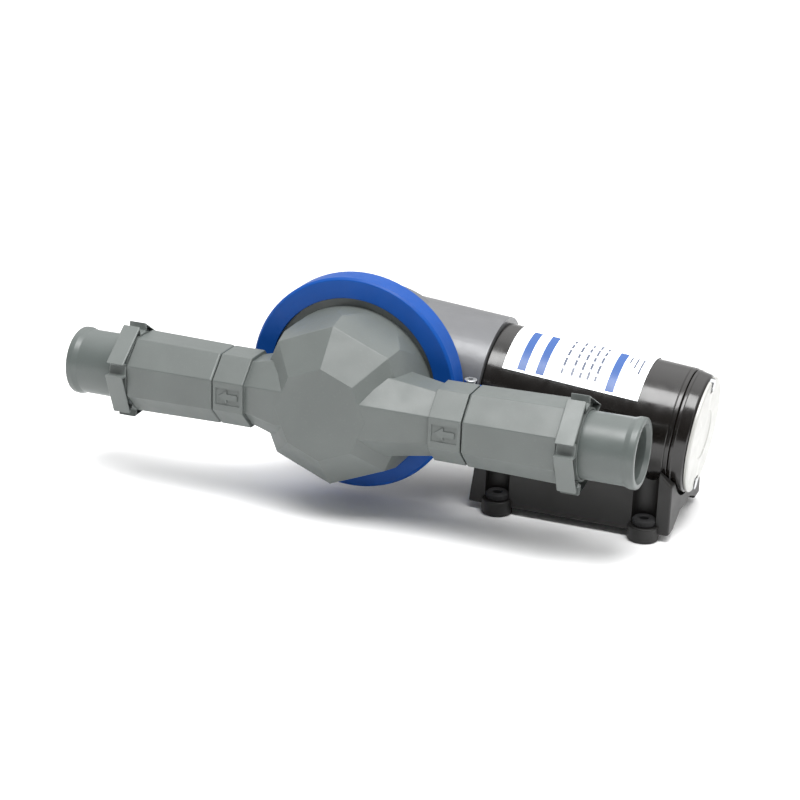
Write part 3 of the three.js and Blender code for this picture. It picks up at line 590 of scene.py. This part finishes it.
def clamp_ring():
    low, high = reach("clamp_ring", FRONT)
    outer, depth = high.z, high.y
    hoop = turned([
        (0, RING_INNER_R, EDGE), (0, outer - RING_BEVEL, RING_SHOULDER),
        (RING_BEVEL, outer, RING_SHOULDER), (depth, outer, EASED), (depth, REAR_LIP_R, EDGE),
        (depth - RING_LIP, REAR_LIP_R, EDGE), (depth - RING_LIP, outer - RING_WALL, 0),
        (RING_LIP, outer - RING_WALL, 0), (RING_LIP, RING_INNER_R, EDGE)])
    lug_front, lug_back = LUG_DEPTH
    lugs = soften(block((outer - LUG_ROOT, lug_front, -LUG_HALF), (high.x, lug_back, LUG_HALF)),
                  LUG_EDGE)
    split = block((RING_INNER_R - 2 * PAST, -PAST, -SPLIT / 2),
                  (high.x + PAST, depth + PAST, SPLIT / 2))
    bore = moved(disc(SCREW_HOLE_R, -2 * LUG_HALF, 2 * LUG_HALF), FRONT.inverted() @ lug_line())
    ring = cut(join(turn(hoop, 90 * DEG, "Z"), lugs), split, bore)
    add_piece("clamp_band", ring, FRONT, "clamp", "blue_ring", ["clamp_ring"])


def clamp_screw():
    line = lug_line()
    low, high = reach("clamp_screw", line)
    under_head = LUG_HALF + WASHER_GAP
    screw = turned([(low.x, 0, 0), (low.x, CLAMP_SHANK_R, BLUNT), (under_head, CLAMP_SHANK_R, 0),
                    (under_head, CLAMP_HEAD_R, CRISP), (high.x, CLAMP_HEAD_R, EASED),
                    (high.x, 0, 0)], SMALL_SEGMENTS)
    socket = disc(HEX_KEY_R, high.x - HEX_KEY_DEPTH, high.x + PAST, segments=6)
    add_piece("clamp_cap_screw", cut(screw, socket), line, "clamp", "steel", ["clamp_screw"])
    low, high = reach("clamp_nut", line)
    hexagon = soften(disc(CLAMP_NUT_R, low.x, high.x, segments=6), FINE)
    bore = disc(SCREW_HOLE_R, low.x - PAST, high.x + PAST, segments=SMALL_SEGMENTS)
    add_piece("clamp_hex_nut", cut(hexagon, bore), line, "clamp", "steel", ["clamp_nut"])


# ---------------------------------------------------------------- ports

BARREL_R_IN = 23.1 * MM
BARREL_R_OUT = 24.1 * MM
BARREL_GAP = 0.6 * MM                    # between the barrel and the end of the head's port
BARREL_CHAMFER = (0.8 * MM, 0.7 * MM)    # along the barrel and across it
BARREL_BACK = 3.1 * MM                   # how far the barrel starts inside the socket's depth
NECK_R = 20.8 * MM
NECK_LENGTH = 7 * MM
NECK_THREAD = 0.8 * MM
VALVE_BORE_R = 16.9 * MM
SPIGOT_R = 19.0 * MM
SEAL_GROOVE = (1.5 * MM, 3.5 * MM, 17.95 * MM)
NUT_PADS = 5
NUT_CORNER_R = 28.5 * MM
NUT_BODY_R = 23.6 * MM
NUT_PAD_HALF = 29 * DEG
NUT_TURNS = {"inlet": 134 * DEG, "outlet": 15.3 * DEG}
NUT_EDGE = 0.7 * MM
NUT_RIM = 1.3 * MM                       # wall left round the pockets in a nut's faces
PAD_TOP_SHARE = 1.1                      # thickness of that wall at a pad's top, as a share
POCKET_DEPTH = 4.2 * MM
POCKET_R_IN = BARREL_R_OUT - 1.2 * MM    # inner radius of the pockets, towards the head
POCKET_R_OUT = 20.6 * MM                 # and towards the hose
THREAD_R = 21.3 * MM
THROAT_R = 19.4 * MM
THROAT_DEPTH = 2.5 * MM
TAIL_R = 19 * MM
TAIL_BORE_R = 15.5 * MM
LIP_R = 20 * MM
LIP_START = 4 * MM                       # from the tail's end, where the lip has its full radius
LIP_SLOPE = 7 * MM                       # from the tail's end, where the lip begins to rise
LIP_HOLLOW = 1.5 * MM                    # roundings of the lip
LIP_NOSE = 2.2 * MM
MOUTH = (2.5 * MM, 1.2 * MM)             # how deep and how far the bore flares at the end
COLLAR_R = 20.5 * MM
COLLAR_PLAY = 0.3 * MM


def valve_housing(word, place):
    low, high = reach(f"{word}_valve_housing", place)
    start, shoulder, end = low.x, high.x - NECK_LENGTH, high.x
    step = start + SOCKET_DEPTH - BARREL_BACK
    face = step + BARREL_GAP
    chamfer_along, chamfer_across = BARREL_CHAMFER
    barrel = soften(octagonal((face, BARREL_R_IN - chamfer_across), (face + chamfer_along, BARREL_R_IN),
                              (shoulder, BARREL_R_OUT)), EASED)
    spigot = disc(SPIGOT_R, start, step + 2 * PAST, BLUNT)
    neck = disc(NECK_R, shoulder - PAST, end, NECK_THREAD)
    groove_from, groove_to, groove_r = SEAL_GROOVE
    groove = turned([(start + groove_from, groove_r, 0), (start + groove_to, groove_r, 0),
                     (start + groove_to, SOCKET_R, 0), (start + groove_from, SOCKET_R, 0)])
    bore = disc(VALVE_BORE_R, start - PAST, end + PAST)
    body = cut(join(barrel, spigot, neck), groove, bore)
    add_piece(f"{word}_valve_barrel", body, place, "head", "grey_plastic", [f"{word}_valve_housing"])


def nut_outline(inset):
    """Five flat pads round the nut, with a notch between each two."""
    outline = []
    half = NUT_PAD_HALF - inset / NUT_CORNER_R
    foot, top = NUT_BODY_R - inset, NUT_CORNER_R - PAD_TOP_SHARE * inset
    corners = ((foot, -half), (top, -half), (top, half), (foot, half))
    for pad in range(NUT_PADS):
        azimuth = TURN * pad / NUT_PADS
        outline += [(radius * math.cos(azimuth + angle), radius * math.sin(azimuth + angle))
                    for radius, angle in corners]
    return outline


def nut_pocket(start, end, inner):
    """Hollow left in the pads of a nut's face, outside an inner radius."""
    return cut(drawn(nut_outline(NUT_RIM), start, end), disc(inner, start - PAST, end + PAST))


def union_nut(word, place):
    low, high = reach(f"{word}_union_nut", place)
    start, end = low.x, high.x
    body = soften(drawn(nut_outline(0), start, end), NUT_EDGE)
    thread = disc(THREAD_R, start - PAST, end - THROAT_DEPTH)
    throat = disc(THROAT_R, start, end + PAST)
    inner = nut_pocket(start - PAST, start + POCKET_DEPTH, POCKET_R_IN)
    outer = nut_pocket(end - POCKET_DEPTH, end + PAST, POCKET_R_OUT)
    nut = turn(cut(body, thread, throat, inner, outer), NUT_TURNS[word], "X")
    add_piece(f"{word}_coupling_nut", nut, place, f"{word}_nut", "nut_plastic", [f"{word}_union_nut"])


def hose_tail(word, place):
    low, high = reach(f"{word}_hose_tail", place)
    start, end = low.x, high.x
    collar = reach(f"{word}_union_nut", place)[1].x - THROAT_DEPTH - COLLAR_PLAY
    depth, flare = MOUTH
    tail = turned([
        (start, TAIL_BORE_R, FINE), (start, COLLAR_R, FINE), (collar, COLLAR_R, FINE),
        (collar, TAIL_R, 0), (end - LIP_SLOPE, TAIL_R, LIP_HOLLOW), (end - LIP_START, LIP_R, LIP_HOLLOW),
        (end, LIP_R, LIP_NOSE), (end, TAIL_BORE_R + flare, EASED), (end - depth, TAIL_BORE_R, SOFT)])
    add_piece(f"{word}_hose_spout", tail, place, "head", "tail_plastic", [f"{word}_hose_tail"])


# ---------------------------------------------------------------- gear housing

DRUM_R = 46 * MM
SEAT_DEPTH = 3.4 * MM
SEAT_PLAY = 0.2 * MM
COVER_BOSS = 2 * MM                      # how far the cover's boss stands out
HOUSING_R = 40 * MM
CASTING_EDGE = 1.2 * MM
BAND_AT_MOTOR = 6 * MM                   # width of the band that squares off the barrel's end
PLATE_ROOM_R = 41 * MM                   # recess that the diaphragm's rear plate moves in
PLATE_ROOM_DEPTH = 17 * MM               # so deep that it breaks through into the lid's seat
ROD_ROOM_R = 25 * MM                     # opening that the connecting rod works through
GEAR_ROOM_R = 30 * MM                    # bore that the crank and the gears turn in
GEAR_ROOM_END = 20 * MM                  # along the motor's axis, from the middle of the ring
MOTOR_SIDE_FROM = 36 * MM                # and where it opens again, towards the motor
SHAFT_ROOM_R = 13 * MM                   # hole through the wall between the two
SHAFT_ROOM = (10 * MM, 60 * MM)
LID_SEAT_R = 33.3 * MM                   # recess that the gearbox cover sits in
LID_SEAT_DEPTH = 5 * MM
LID_LEDGE = 4 * MM                       # the bore starts this far in


def gear_housing():
    """Made on the motor's line: a barrel along it, a drum and a seat towards the ring."""
    low, high = reach("gear_housing", MOTOR)
    start, front = reach("gearbox_cover", MOTOR)[0].x + COVER_BOSS, low.y
    seat_to = front + SEAT_DEPTH
    ahead = Matrix.Rotation(90 * DEG, 4, "Z")
    seat = moved(disc(high.z - SEAT_PLAY, front, seat_to, EDGE), ahead)
    drum = moved(disc(DRUM_R, seat_to - PAST, 0, CASTING_EDGE), ahead)
    barrel = disc(HOUSING_R, start, high.x, CASTING_EDGE)
    band_from = high.x - BAND_AT_MOTOR
    band = turned([(band_from, HOUSING_R - PAST, 0), (band_from, HOUSING_R, 0),
                   (high.x, HOUSING_R, EDGE), (high.x, HOUSING_R - PAST, 0)])
    openings = [
        moved(disc(PLATE_ROOM_R, front - PAST, front + PLATE_ROOM_DEPTH), ahead),
        moved(disc(ROD_ROOM_R, front, 0), ahead),
        disc(GEAR_ROOM_R, start + LID_LEDGE, GEAR_ROOM_END),
        disc(LID_SEAT_R, low.x - PAST, start + LID_SEAT_DEPTH),
        disc(SHAFT_ROOM_R, *SHAFT_ROOM),
        disc(GEAR_ROOM_R, MOTOR_SIDE_FROM, high.x + PAST)]
    shell = cut(join(seat, drum, barrel, band), *openings)
    add_piece("gear_casting", shell, MOTOR, "housing", "housing_grey", ["gear_housing"])


COVER_BOSS_R = 14 * MM
GROOVE_AT = 3 * MM                       # middle of the cover's groove, from its edge
GROOVE_HALF = 1 * MM
GROOVE_DEPTH = 1.2 * MM
GROOVE_EDGE = 0.5 * MM


def gearbox_cover():
    low, high = reach("gearbox_cover", MOTOR)
    rim, outer = low.x + COVER_BOSS, high.z
    groove = outer - GROOVE_AT
    cover = turned([
        (low.x, 0, 0), (low.x, COVER_BOSS_R, SOFT), (rim, COVER_BOSS_R, EASED),
        (rim, groove - GROOVE_HALF, GROOVE_EDGE), (rim + GROOVE_DEPTH, groove, GROOVE_EDGE),
        (rim, groove + GROOVE_HALF, GROOVE_EDGE), (rim, outer, EASED), (high.x, outer, 0),
        (high.x, 0, 0)])
    add_piece("gearbox_lid", cover, MOTOR, "housing", "housing_grey", ["gearbox_cover"])


# ---------------------------------------------------------------- motor

THROUGH_BOLTS = ("upper_through_bolt", "lower_through_bolt")
CRADLE_SCREWS = ("cradle_screw_1", "cradle_screw_2")
CAN_WALL = 2.5 * MM
CAN_EDGE = 0.7 * MM
CRADLE_HOLE_R = 2.4 * MM
CAN_HOLE = (20 * MM, 45 * MM)            # reach of these holes in the can, from the motor's axis
HEM = 3 * MM                             # rolled edge at the end of the can
HEM_STEP = 0.4 * MM                      # each side of the line that marks off the hem
HEM_LINE = 0.35 * MM                     # and how deep that line is
CAP_HOLLOW = (12 * MM, 26 * MM)          # radii of the hollow round the rear bearing
CAP_WALL = 3 * MM
CAP_STEP = 2 * MM                        # width of the cap's raised edge at the can
CAP_STEP_HEIGHT = 0.4 * MM
CAP_STEP_EDGE = 0.2 * MM
CAP_CORNER = 1 * MM                      # bevel round the cap's rear face
CAP_OVER_PLATE = 0.6 * MM                # how far the cap reaches past the end plate
BEARING_SEAT_R = 8.3 * MM
BOLT_HOLE_R = 2.6 * MM
BEARING_SEAT_WALL = 2 * MM
GLAND_HOLE_R = 4 * MM
GLAND_HOLE_FROM = 20 * MM                # from the motor's axis
NOTCH_HALF = 4.4 * MM
NOTCH_EDGE = 1.2 * MM
PLATE_RIM = 1.5 * MM
PLATE_STEP = 0.5 * MM                    # depth of the plate's rim and of its hollow centre
PLATE_CENTRE_R = 14 * MM
PLATE_SLOPE = 1 * MM


def cradle_holes(radius, start, end):
    """Holes down from the motor's axis for the screws that hold the motor to its cradle."""
    return [shift(turn(disc(radius, start, end, segments=HOLE_SEGMENTS), 90 * DEG, "Y"),
                  middle(name, MOTOR).x) for name in CRADLE_SCREWS]


def motor_can():
    low, high = reach("motor_can", MOTOR)
    start, end, outer = low.x, high.x, high.z
    bore = outer - CAN_WALL
    hem = end - HEM
    can = turned([(start, bore, 0), (start, outer, CAN_EDGE), (hem, outer, FINE),
                  (hem + HEM_STEP, outer - HEM_LINE, CRISP), (hem + 2 * HEM_STEP, outer, FINE),
                  (end, outer, BLUNT), (end, bore, 0)])
    holes = cradle_holes(CRADLE_HOLE_R, *CAN_HOLE)
    add_piece("motor_tube", cut(can, *holes), MOTOR, "housing", "black_paint", ["motor_can"])


def bolt_holes(start, end):
    return [shift(disc(BOLT_HOLE_R, start, end, segments=HOLE_SEGMENTS), z=middle(name, MOTOR).z)
            for name in THROUGH_BOLTS]


def gland_line():
    """Place on the axis of the cable gland, with +X out of the motor."""
    along = middle("cable_gland", MOTOR).x
    return MOTOR @ Matrix.Translation((along, 0, 0)) @ Matrix.Rotation(90 * DEG, 4, "Z")


def motor_end_cap():
    low, high = reach("motor_end_cap", MOTOR)
    start, end, outer = low.x, high.x, high.z
    end_r = reach("motor_end_plate", MOTOR)[1].y + CAP_OVER_PLATE
    inner, hollow = CAP_HOLLOW
    step = start + CAP_STEP
    shell = turned([(start, 0, 0), (start, outer, SOFT), (step, outer, EDGE),
                    (step + CAP_STEP_EDGE, outer - CAP_STEP_HEIGHT, FINE),
                    (end - CAP_CORNER, end_r, SOFT), (end, end_r - CAP_CORNER, EDGE), (end, 0, 0)])
    cavity = turned([(start - PAST, inner, 0), (start - PAST, hollow, 0),
                     (end - CAP_WALL, hollow, 0), (end - CAP_WALL, inner, 0)])
    gland = moved(disc(GLAND_HOLE_R, GLAND_HOLE_FROM, outer + 5 * PAST, segments=SMALL_SEGMENTS),
                  MOTOR.inverted() @ gland_line())
    seat = disc(BEARING_SEAT_R, start - PAST, end - BEARING_SEAT_WALL)
    cap = cut(shell, cavity, seat, gland, *bolt_holes(start - PAST, end + PAST))
    add_piece("motor_bell", cap, MOTOR, "housing", "black_paint", ["motor_end_cap"])


def motor_end_plate():
    low, high = reach("motor_end_plate", MOTOR)
    start, end, outer = low.x, high.x, high.y
    step = end - PLATE_STEP
    plate = turned([(start, 0, 0), (start, outer, FINE), (step, outer, EDGE),
                    (end, outer - PLATE_RIM, EDGE), (end, PLATE_CENTRE_R + PLATE_SLOPE, EDGE),
                    (step, PLATE_CENTRE_R, EDGE), (step, 0, 0)])
    notches = []
    for name in THROUGH_BOLTS:
        notch = block((start - PAST, -NOTCH_HALF, -NOTCH_HALF), (end + PAST, NOTCH_HALF, NOTCH_HALF))
        notches.append(shift(soften(notch, NOTCH_EDGE), z=middle(name, MOTOR).z))
    add_piece("motor_rear_plate", cut(plate, *notches), MOTOR, "housing", "end_plate",
              ["motor_end_plate"])


GLAND_BORE_R = 1.8 * MM
GLAND_NECK_R = 3.7 * MM
GLAND_R = 4.2 * MM
GLAND_TIP_R = 3.4 * MM
GLAND_GAP = 0.1 * MM                     # between the gland's flange and the cap
GLAND_RIBS = 5
RIB_PITCH = 1.2 * MM
RIB_TAPER = 0.13 * MM                    # each rib is smaller than the last
RIB_STEP = 0.5 * MM


def cable_gland():
    line = gland_line()
    low, high = reach("cable_gland", line)
    flange = reach("motor_end_cap", MOTOR)[1].z + GLAND_GAP
    ribs = []
    for i in range(GLAND_RIBS):
        along = flange + RIB_PITCH * (i + 1)
        radius = GLAND_R - RIB_TAPER * i
        ribs += [(along, radius, CRISP), (along + RIB_STEP, radius - RIB_STEP, CRISP)]
    gland = turned([(low.x, GLAND_BORE_R, FINE), (low.x, GLAND_NECK_R, FINE), (flange, GLAND_NECK_R, 0),
                    (flange, GLAND_R, CRISP), *ribs, (high.x, GLAND_TIP_R, FINE),
                    (high.x, GLAND_BORE_R, FINE)], SMALL_SEGMENTS)
    add_piece("cable_bush", gland, line, "housing", "black_rubber", ["cable_gland"])


# ---------------------------------------------------------------- label

LABEL_STEP = 4 * DEG
PRINT_HEIGHT = 0.05 * MM
LABEL_R = reach("motor_label", MOTOR)[1].z       # its top lies at the highest point of the can


def on_can(along, angle, radius):
    """Point on the can's surface. The angle runs from the rear (+Y) over the top."""
    return along, radius * math.cos(angle), radius * math.sin(angle)


def film(left, right, inner, outer):
    """Thin solid on the can between two lines of (along, angle) with equal counts."""
    solid = bmesh.new()
    rows = [[solid.verts.new(on_can(*point, radius)) for point, radius in
             ((first, inner), (first, outer), (second, outer), (second, inner))]
            for first, second in zip(left, right)]
    for row, following in zip(rows, rows[1:]):
        for i in range(4):
            k = (i + 1) % 4
            solid.faces.new((row[i], row[k], following[k], following[i]))
    solid.faces.new(rows[0])
    solid.faces.new(rows[-1])
    return facing_out(solid)


def strip(left, right, start, end, inner, outer):
    """Thin solid round the can from one angle to another."""
    steps = max(2, math.ceil(abs(end - start) / LABEL_STEP))
    angles = [start + (end - start) * i / steps for i in range(steps + 1)]
    return film([(left, angle) for angle in angles], [(right, angle) for angle in angles],
                inner, outer)


def printed_bar(along, width, start, end):
    return strip(along - width / 2, along + width / 2, start, end,
                 LABEL_R - PRINT_HEIGHT, LABEL_R + PRINT_HEIGHT)


def gathered(solids):
    """One mesh that holds several separate solids."""
    whole = bmesh.new()
    for solid in solids:
        mesh = bpy.data.meshes.new("part")
        solid.to_mesh(mesh)
        solid.free()
        whole.from_mesh(mesh)
        bpy.data.meshes.remove(mesh)
    return whole


LABEL_SPAN = (144 * DEG, -16 * DEG)      # angles of the label's two ends
LABEL_THICKNESS = 0.35 * MM
PRINT_START = 142 * DEG                  # angles of the printing's lower and upper edge
PRINT_END = 92 * DEG
STRIPES = (11, 22, 63.5)                 # offsets of the plain stripes from the label's edge, in mm
STRIPE_WIDTH = 5 * MM
ROWS = (34, 40, 45, 49.5, 54)            # offsets of the rows of dashes, in mm
ROW_START = PRINT_START - 6 * DEG
ROW_WIDTH = 1.5 * MM
DASH = 5.5 * DEG                         # the shortest dash
DASH_GAP = 2.5 * DEG
FINE_LINES = 3                           # thin lines near the label's other edge
FINE_LINE_MARGIN = 5 * MM
FINE_LINE_PITCH = 3.5 * MM
FINE_LINE_WIDTH = 1.1 * MM
FINE_LINE_START = 118 * DEG
FINE_LINE_STEP = 6 * DEG                 # each line starts this much higher than the last
FINE_LINE_END = 96 * DEG


def dashes(number, along):
    """A row of dashes of four lengths, in an order that depends on the row's number."""
    row = []
    angle = ROW_START
    while angle > PRINT_END:
        length = DASH * (1 + (number * 2 + len(row) * 3) % 4 / 4)
        row.append(printed_bar(along, ROW_WIDTH, angle, angle - length))
        angle -= length + DASH_GAP
    return row


def fine_lines(edge):
    return [printed_bar(edge - FINE_LINE_MARGIN - FINE_LINE_PITCH * number, FINE_LINE_WIDTH,
                        FINE_LINE_START - number * FINE_LINE_STEP, FINE_LINE_END)
            for number in range(FINE_LINES)]


def motor_label():
    low, high = reach("motor_label", MOTOR)
    sheet = strip(low.x, high.x, *LABEL_SPAN, LABEL_R - LABEL_THICKNESS, LABEL_R)
    add_piece("label_sheet", sheet, MOTOR, "housing", "label_film", ["motor_label"])
    stripes = [printed_bar(low.x + offset * MM, STRIPE_WIDTH, PRINT_START, PRINT_END)
               for offset in STRIPES]
    add_piece("label_stripes", gathered(stripes), MOTOR, "housing", "label_film", look=blue_print())
    marks = []
    for number, offset in enumerate(ROWS):
        marks += dashes(number, low.x + offset * MM)
    marks += fine_lines(high.x)
    add_piece("label_marks", gathered(marks), MOTOR, "housing", "label_film", look=grey_print())


# ---------------------------------------------------------------- base

ARCH = 4 * MM                            # gap between the floor and the walls
WALL_TOP_DROP = 13 * MM
WALL_TOP_RUN = 14 * MM
WALL_LEAN = 5 * MM
TUNNEL_INSET = 9 * MM                    # the tunnel under the cradle, from the outer walls
TUNNEL_SIDE = (3 * MM, 6 * MM)           # how far its sides lean, and how high they are
TUNNEL_HEIGHT = 11 * MM
TUNNEL_TOP_HALF = 12 * MM
FOOT_R = 9 * MM
FOOT_HEIGHT = 9 * MM
FOOT_EDGE = 0.9 * MM
CHANNEL_R = 7.3 * MM                     # room for a screwdriver above each foot
CHANNEL_TOP = 72 * MM
GROMMET_HOLE_R = 5.2 * MM
CRADLE_GAP = 0.3 * MM
CRADLE_HOLE = (30 * MM, 80 * MM)         # reach of the screw holes, from the motor's axis
HOLE_PLAY = 0.1 * MM
MOTOR_SPACE = 260 * MM                   # longer than the motor
BASE_EDGE = 1.2 * MM


def feet():
    """Places of the four feet on the underside, with +X up, by the name of their grommet."""
    places = {}
    floor = reach("base", FRONT)[0].z
    for row in ("front", "rear"):
        for number in (1, 2):
            name = f"{row}_grommet_{number}"
            grommet = middle(name, FRONT)
            places[name] = Matrix.Translation((grommet.x, grommet.y, floor)) @ UP
    return places


def base():
    low, high = reach("base", FRONT)
    front, back = low.y + FOOT_R - PAST, high.y - FOOT_R + PAST
    places = feet().values()
    outline = [(low.x, low.z + ARCH), (low.x + WALL_LEAN, high.z), (high.x - WALL_TOP_RUN, high.z),
               (high.x, high.z - WALL_TOP_DROP), (high.x, low.z + ARCH)]
    cradle = soften(lofted([[(x, y, z) for x, z in outline] for y in (front, back)]), BASE_EDGE)
    added = [moved(disc(FOOT_R, 0, FOOT_HEIGHT, FOOT_EDGE), place) for place in places]
    inner, outer = front + TUNNEL_INSET, back - TUNNEL_INSET
    centre = (front + back) / 2
    lean, side = TUNNEL_SIDE
    below, top = low.z - PAST, low.z + TUNNEL_HEIGHT
    tunnel = drawn([(inner, below), (outer, below), (outer - lean, low.z + side),
                    (centre + TUNNEL_TOP_HALF, top), (centre - TUNNEL_TOP_HALF, top),
                    (inner + lean, low.z + side)], low.x - 10 * PAST, high.x + 10 * PAST)
    removed = [tunnel]
    for place in places:
        removed.append(moved(disc(CHANNEL_R, FOOT_HEIGHT, CHANNEL_TOP, BLUNT), place))
        removed.append(moved(disc(GROMMET_HOLE_R, -PAST, FOOT_HEIGHT + PAST), place))
    line = FRONT.inverted() @ MOTOR
    can_r = reach("motor_can", MOTOR)[1].z
    removed.append(moved(disc(can_r + CRADLE_GAP, 0, MOTOR_SPACE), line))
    for hole in cradle_holes(CRADLE_HOLE_R + HOLE_PLAY, *CRADLE_HOLE):
        removed.append(moved(hole, line))
    body = cut(join(cradle, *added), *removed)
    add_piece("motor_cradle", body, FRONT, "housing", "black_plastic", ["base"])


SLEEVE_R = 4.7 * MM
SLEEVE_BORE_R = 2.7 * MM
SLEEVE_FLARE = 0.6 * MM
GROMMET_R = 6.8 * MM
GROMMET_BEVEL = 1 * MM
GROMMET_GAP = 0.3 * MM
GROMMET_SEGMENTS = 64


def grommets():
    for name, place in feet().items():
        low, high = reach(name, FRONT @ place)
        shoulder = FOOT_HEIGHT + GROMMET_GAP
        grommet = turned([
            (low.x, SLEEVE_BORE_R, FINE), (low.x, SLEEVE_R, BLUNT), (shoulder, SLEEVE_R, 0),
            (shoulder, GROMMET_R, EDGE), (high.x - GROMMET_BEVEL, GROMMET_R, SOFT),
            (high.x, GROMMET_R - GROMMET_BEVEL, SOFT), (high.x, SLEEVE_BORE_R + SLEEVE_FLARE, FINE),
            (high.x - SLEEVE_FLARE, SLEEVE_BORE_R, CRISP)], GROMMET_SEGMENTS)
        add_piece(f"{name}_bush", grommet, FRONT @ place, "housing", "black_rubber", [name])


# ---------------------------------------------------------------- camera, floor and lights

CAMERA_AZIMUTH = 21 * DEG
CAMERA_ELEVATION = 20 * DEG
CAMERA_ROLL = 1.98 * DEG
CAMERA_DISTANCE = 1.155
CAMERA_AIM = Vector((27.4, 7.5, -7.7)) * MM      # from the middle of the ring's front
LENS_MM = 90
SENSOR_MM = 36
FAR_LIMIT = 20
FLOOR_SIZE = 12
FLOOR_GAP = 0.1 * MM


def camera_axes():
    """The camera's right, up and backward directions."""
    sin_a, cos_a = math.sin(CAMERA_AZIMUTH), math.cos(CAMERA_AZIMUTH)
    sin_e, cos_e = math.sin(CAMERA_ELEVATION), math.cos(CAMERA_ELEVATION)
    forward = Vector((-sin_a * cos_e, cos_a * cos_e, -sin_e))
    level = Vector((cos_a, sin_a, 0))
    upright = level.cross(forward)
    sin_r, cos_r = math.sin(CAMERA_ROLL), math.cos(CAMERA_ROLL)
    return level * cos_r + upright * sin_r, upright * cos_r - level * sin_r, -forward


def add_camera():
    data = bpy.data.cameras.new("camera")
    data.lens = LENS_MM
    data.sensor_width = SENSOR_MM
    data.clip_end = FAR_LIMIT
    camera = bpy.data.objects.new("camera", data)
    right, up, back = camera_axes()
    place = Matrix((right, up, back)).transposed().to_4x4()
    place.translation = FRONT @ CAMERA_AIM + back * CAMERA_DISTANCE
    camera.matrix_world = place
    bpy.context.scene.collection.objects.link(camera)
    bpy.context.scene.camera = camera


def add_light(name, azimuth, elevation, distance, size, power):
    """Soft panel that faces the pump. Azimuth 0 is in front of the head, 90 to its right."""
    data = bpy.data.lights.new(name, "AREA")
    data.shape = "RECTANGLE"
    data.size, data.size_y = size
    data.energy = power
    light = bpy.data.objects.new(name, data)
    direction = Vector((math.sin(azimuth) * math.cos(elevation),
                        -math.cos(azimuth) * math.cos(elevation), math.sin(elevation)))
    light.location = FRONT.translation + direction * distance
    light.rotation_euler = direction.to_track_quat("Z", "Y").to_euler()
    bpy.context.scene.collection.objects.link(light)


def add_floor():
    look = Look("floor", 0.9)
    look.colour(look.mixed(look.noise(0.2, 2.0), linear(250, 250, 250), linear(254, 254, 254)))
    bpy.ops.mesh.primitive_plane_add(size=FLOOR_SIZE, location=(0, 0, CAD_BOX[0][2] - FLOOR_GAP))
    floor = bpy.context.object
    floor.name = "floor"
    floor.data.materials.append(look.material)


# How bright the surroundings are by direction: darker in front of the head, lighter above. A row
# is an axis, the range of directions along it, and the brightness at either end of that range.
SKY_LEVELS = (
    ("Y", -0.6, 0.3, 0.15, 0.95),
    ("Z", 0.3, 0.9, 0.75, 2.2),
)


def add_surroundings():
    world = bpy.data.worlds.new("studio")
    bpy.context.scene.world = world
    world.use_nodes = True
    nodes, links = world.node_tree.nodes, world.node_tree.links
    direction = nodes.new("ShaderNodeTexCoord").outputs["Generated"]
    parts = nodes.new("ShaderNodeSeparateXYZ")
    links.new(direction, parts.inputs["Vector"])
    levels = []
    for axis, low, high, low_value, high_value in SKY_LEVELS:
        level = nodes.new("ShaderNodeMapRange")
        for socket, value in (("From Min", low), ("From Max", high), ("To Min", low_value),
                              ("To Max", high_value)):
            level.inputs[socket].default_value = value
        links.new(parts.outputs[axis], level.inputs["Value"])
        levels.append(level.outputs["Result"])
    product = nodes.new("ShaderNodeMath")
    product.operation = "MULTIPLY"
    for i, level in enumerate(levels):
        links.new(level, product.inputs[i])
    nodes["Background"].inputs["Color"].default_value = (1.0, 1.0, 1.0, 1.0)
    links.new(product.outputs["Value"], nodes["Background"].inputs["Strength"])
    bpy.context.scene.view_settings.view_transform = "Standard"
    add_light("overhead", 25 * DEG, 72 * DEG, distance=1.1, size=(0.9, 0.5), power=16)
    add_light("right", 80 * DEG, 35 * DEG, distance=1.3, size=(0.6, 0.8), power=2)


# ---------------------------------------------------------------- CAD nodes that stay

def dress_nodes():
    """Gives every CAD node that stays the look of its material slot."""
    slots = {part["node"]: part["material_slot"] for part in frame["record"]["subparts"]}
    for name, node in frame["nodes"].items():
        node.data.materials.clear()
        node.data.materials.append(LOOKS[slots[name]])


add_camera()
add_floor()
add_surroundings()
dress_nodes()
pump_head()
clamp_ring()
clamp_screw()
for word, place in (("inlet", INLET), ("outlet", OUTLET)):
    valve_housing(word, place)
    union_nut(word, place)
    hose_tail(word, place)
gear_housing()
gearbox_cover()
motor_can()
motor_label()
motor_end_cap()
motor_end_plate()
cable_gland()
base()
grommets()
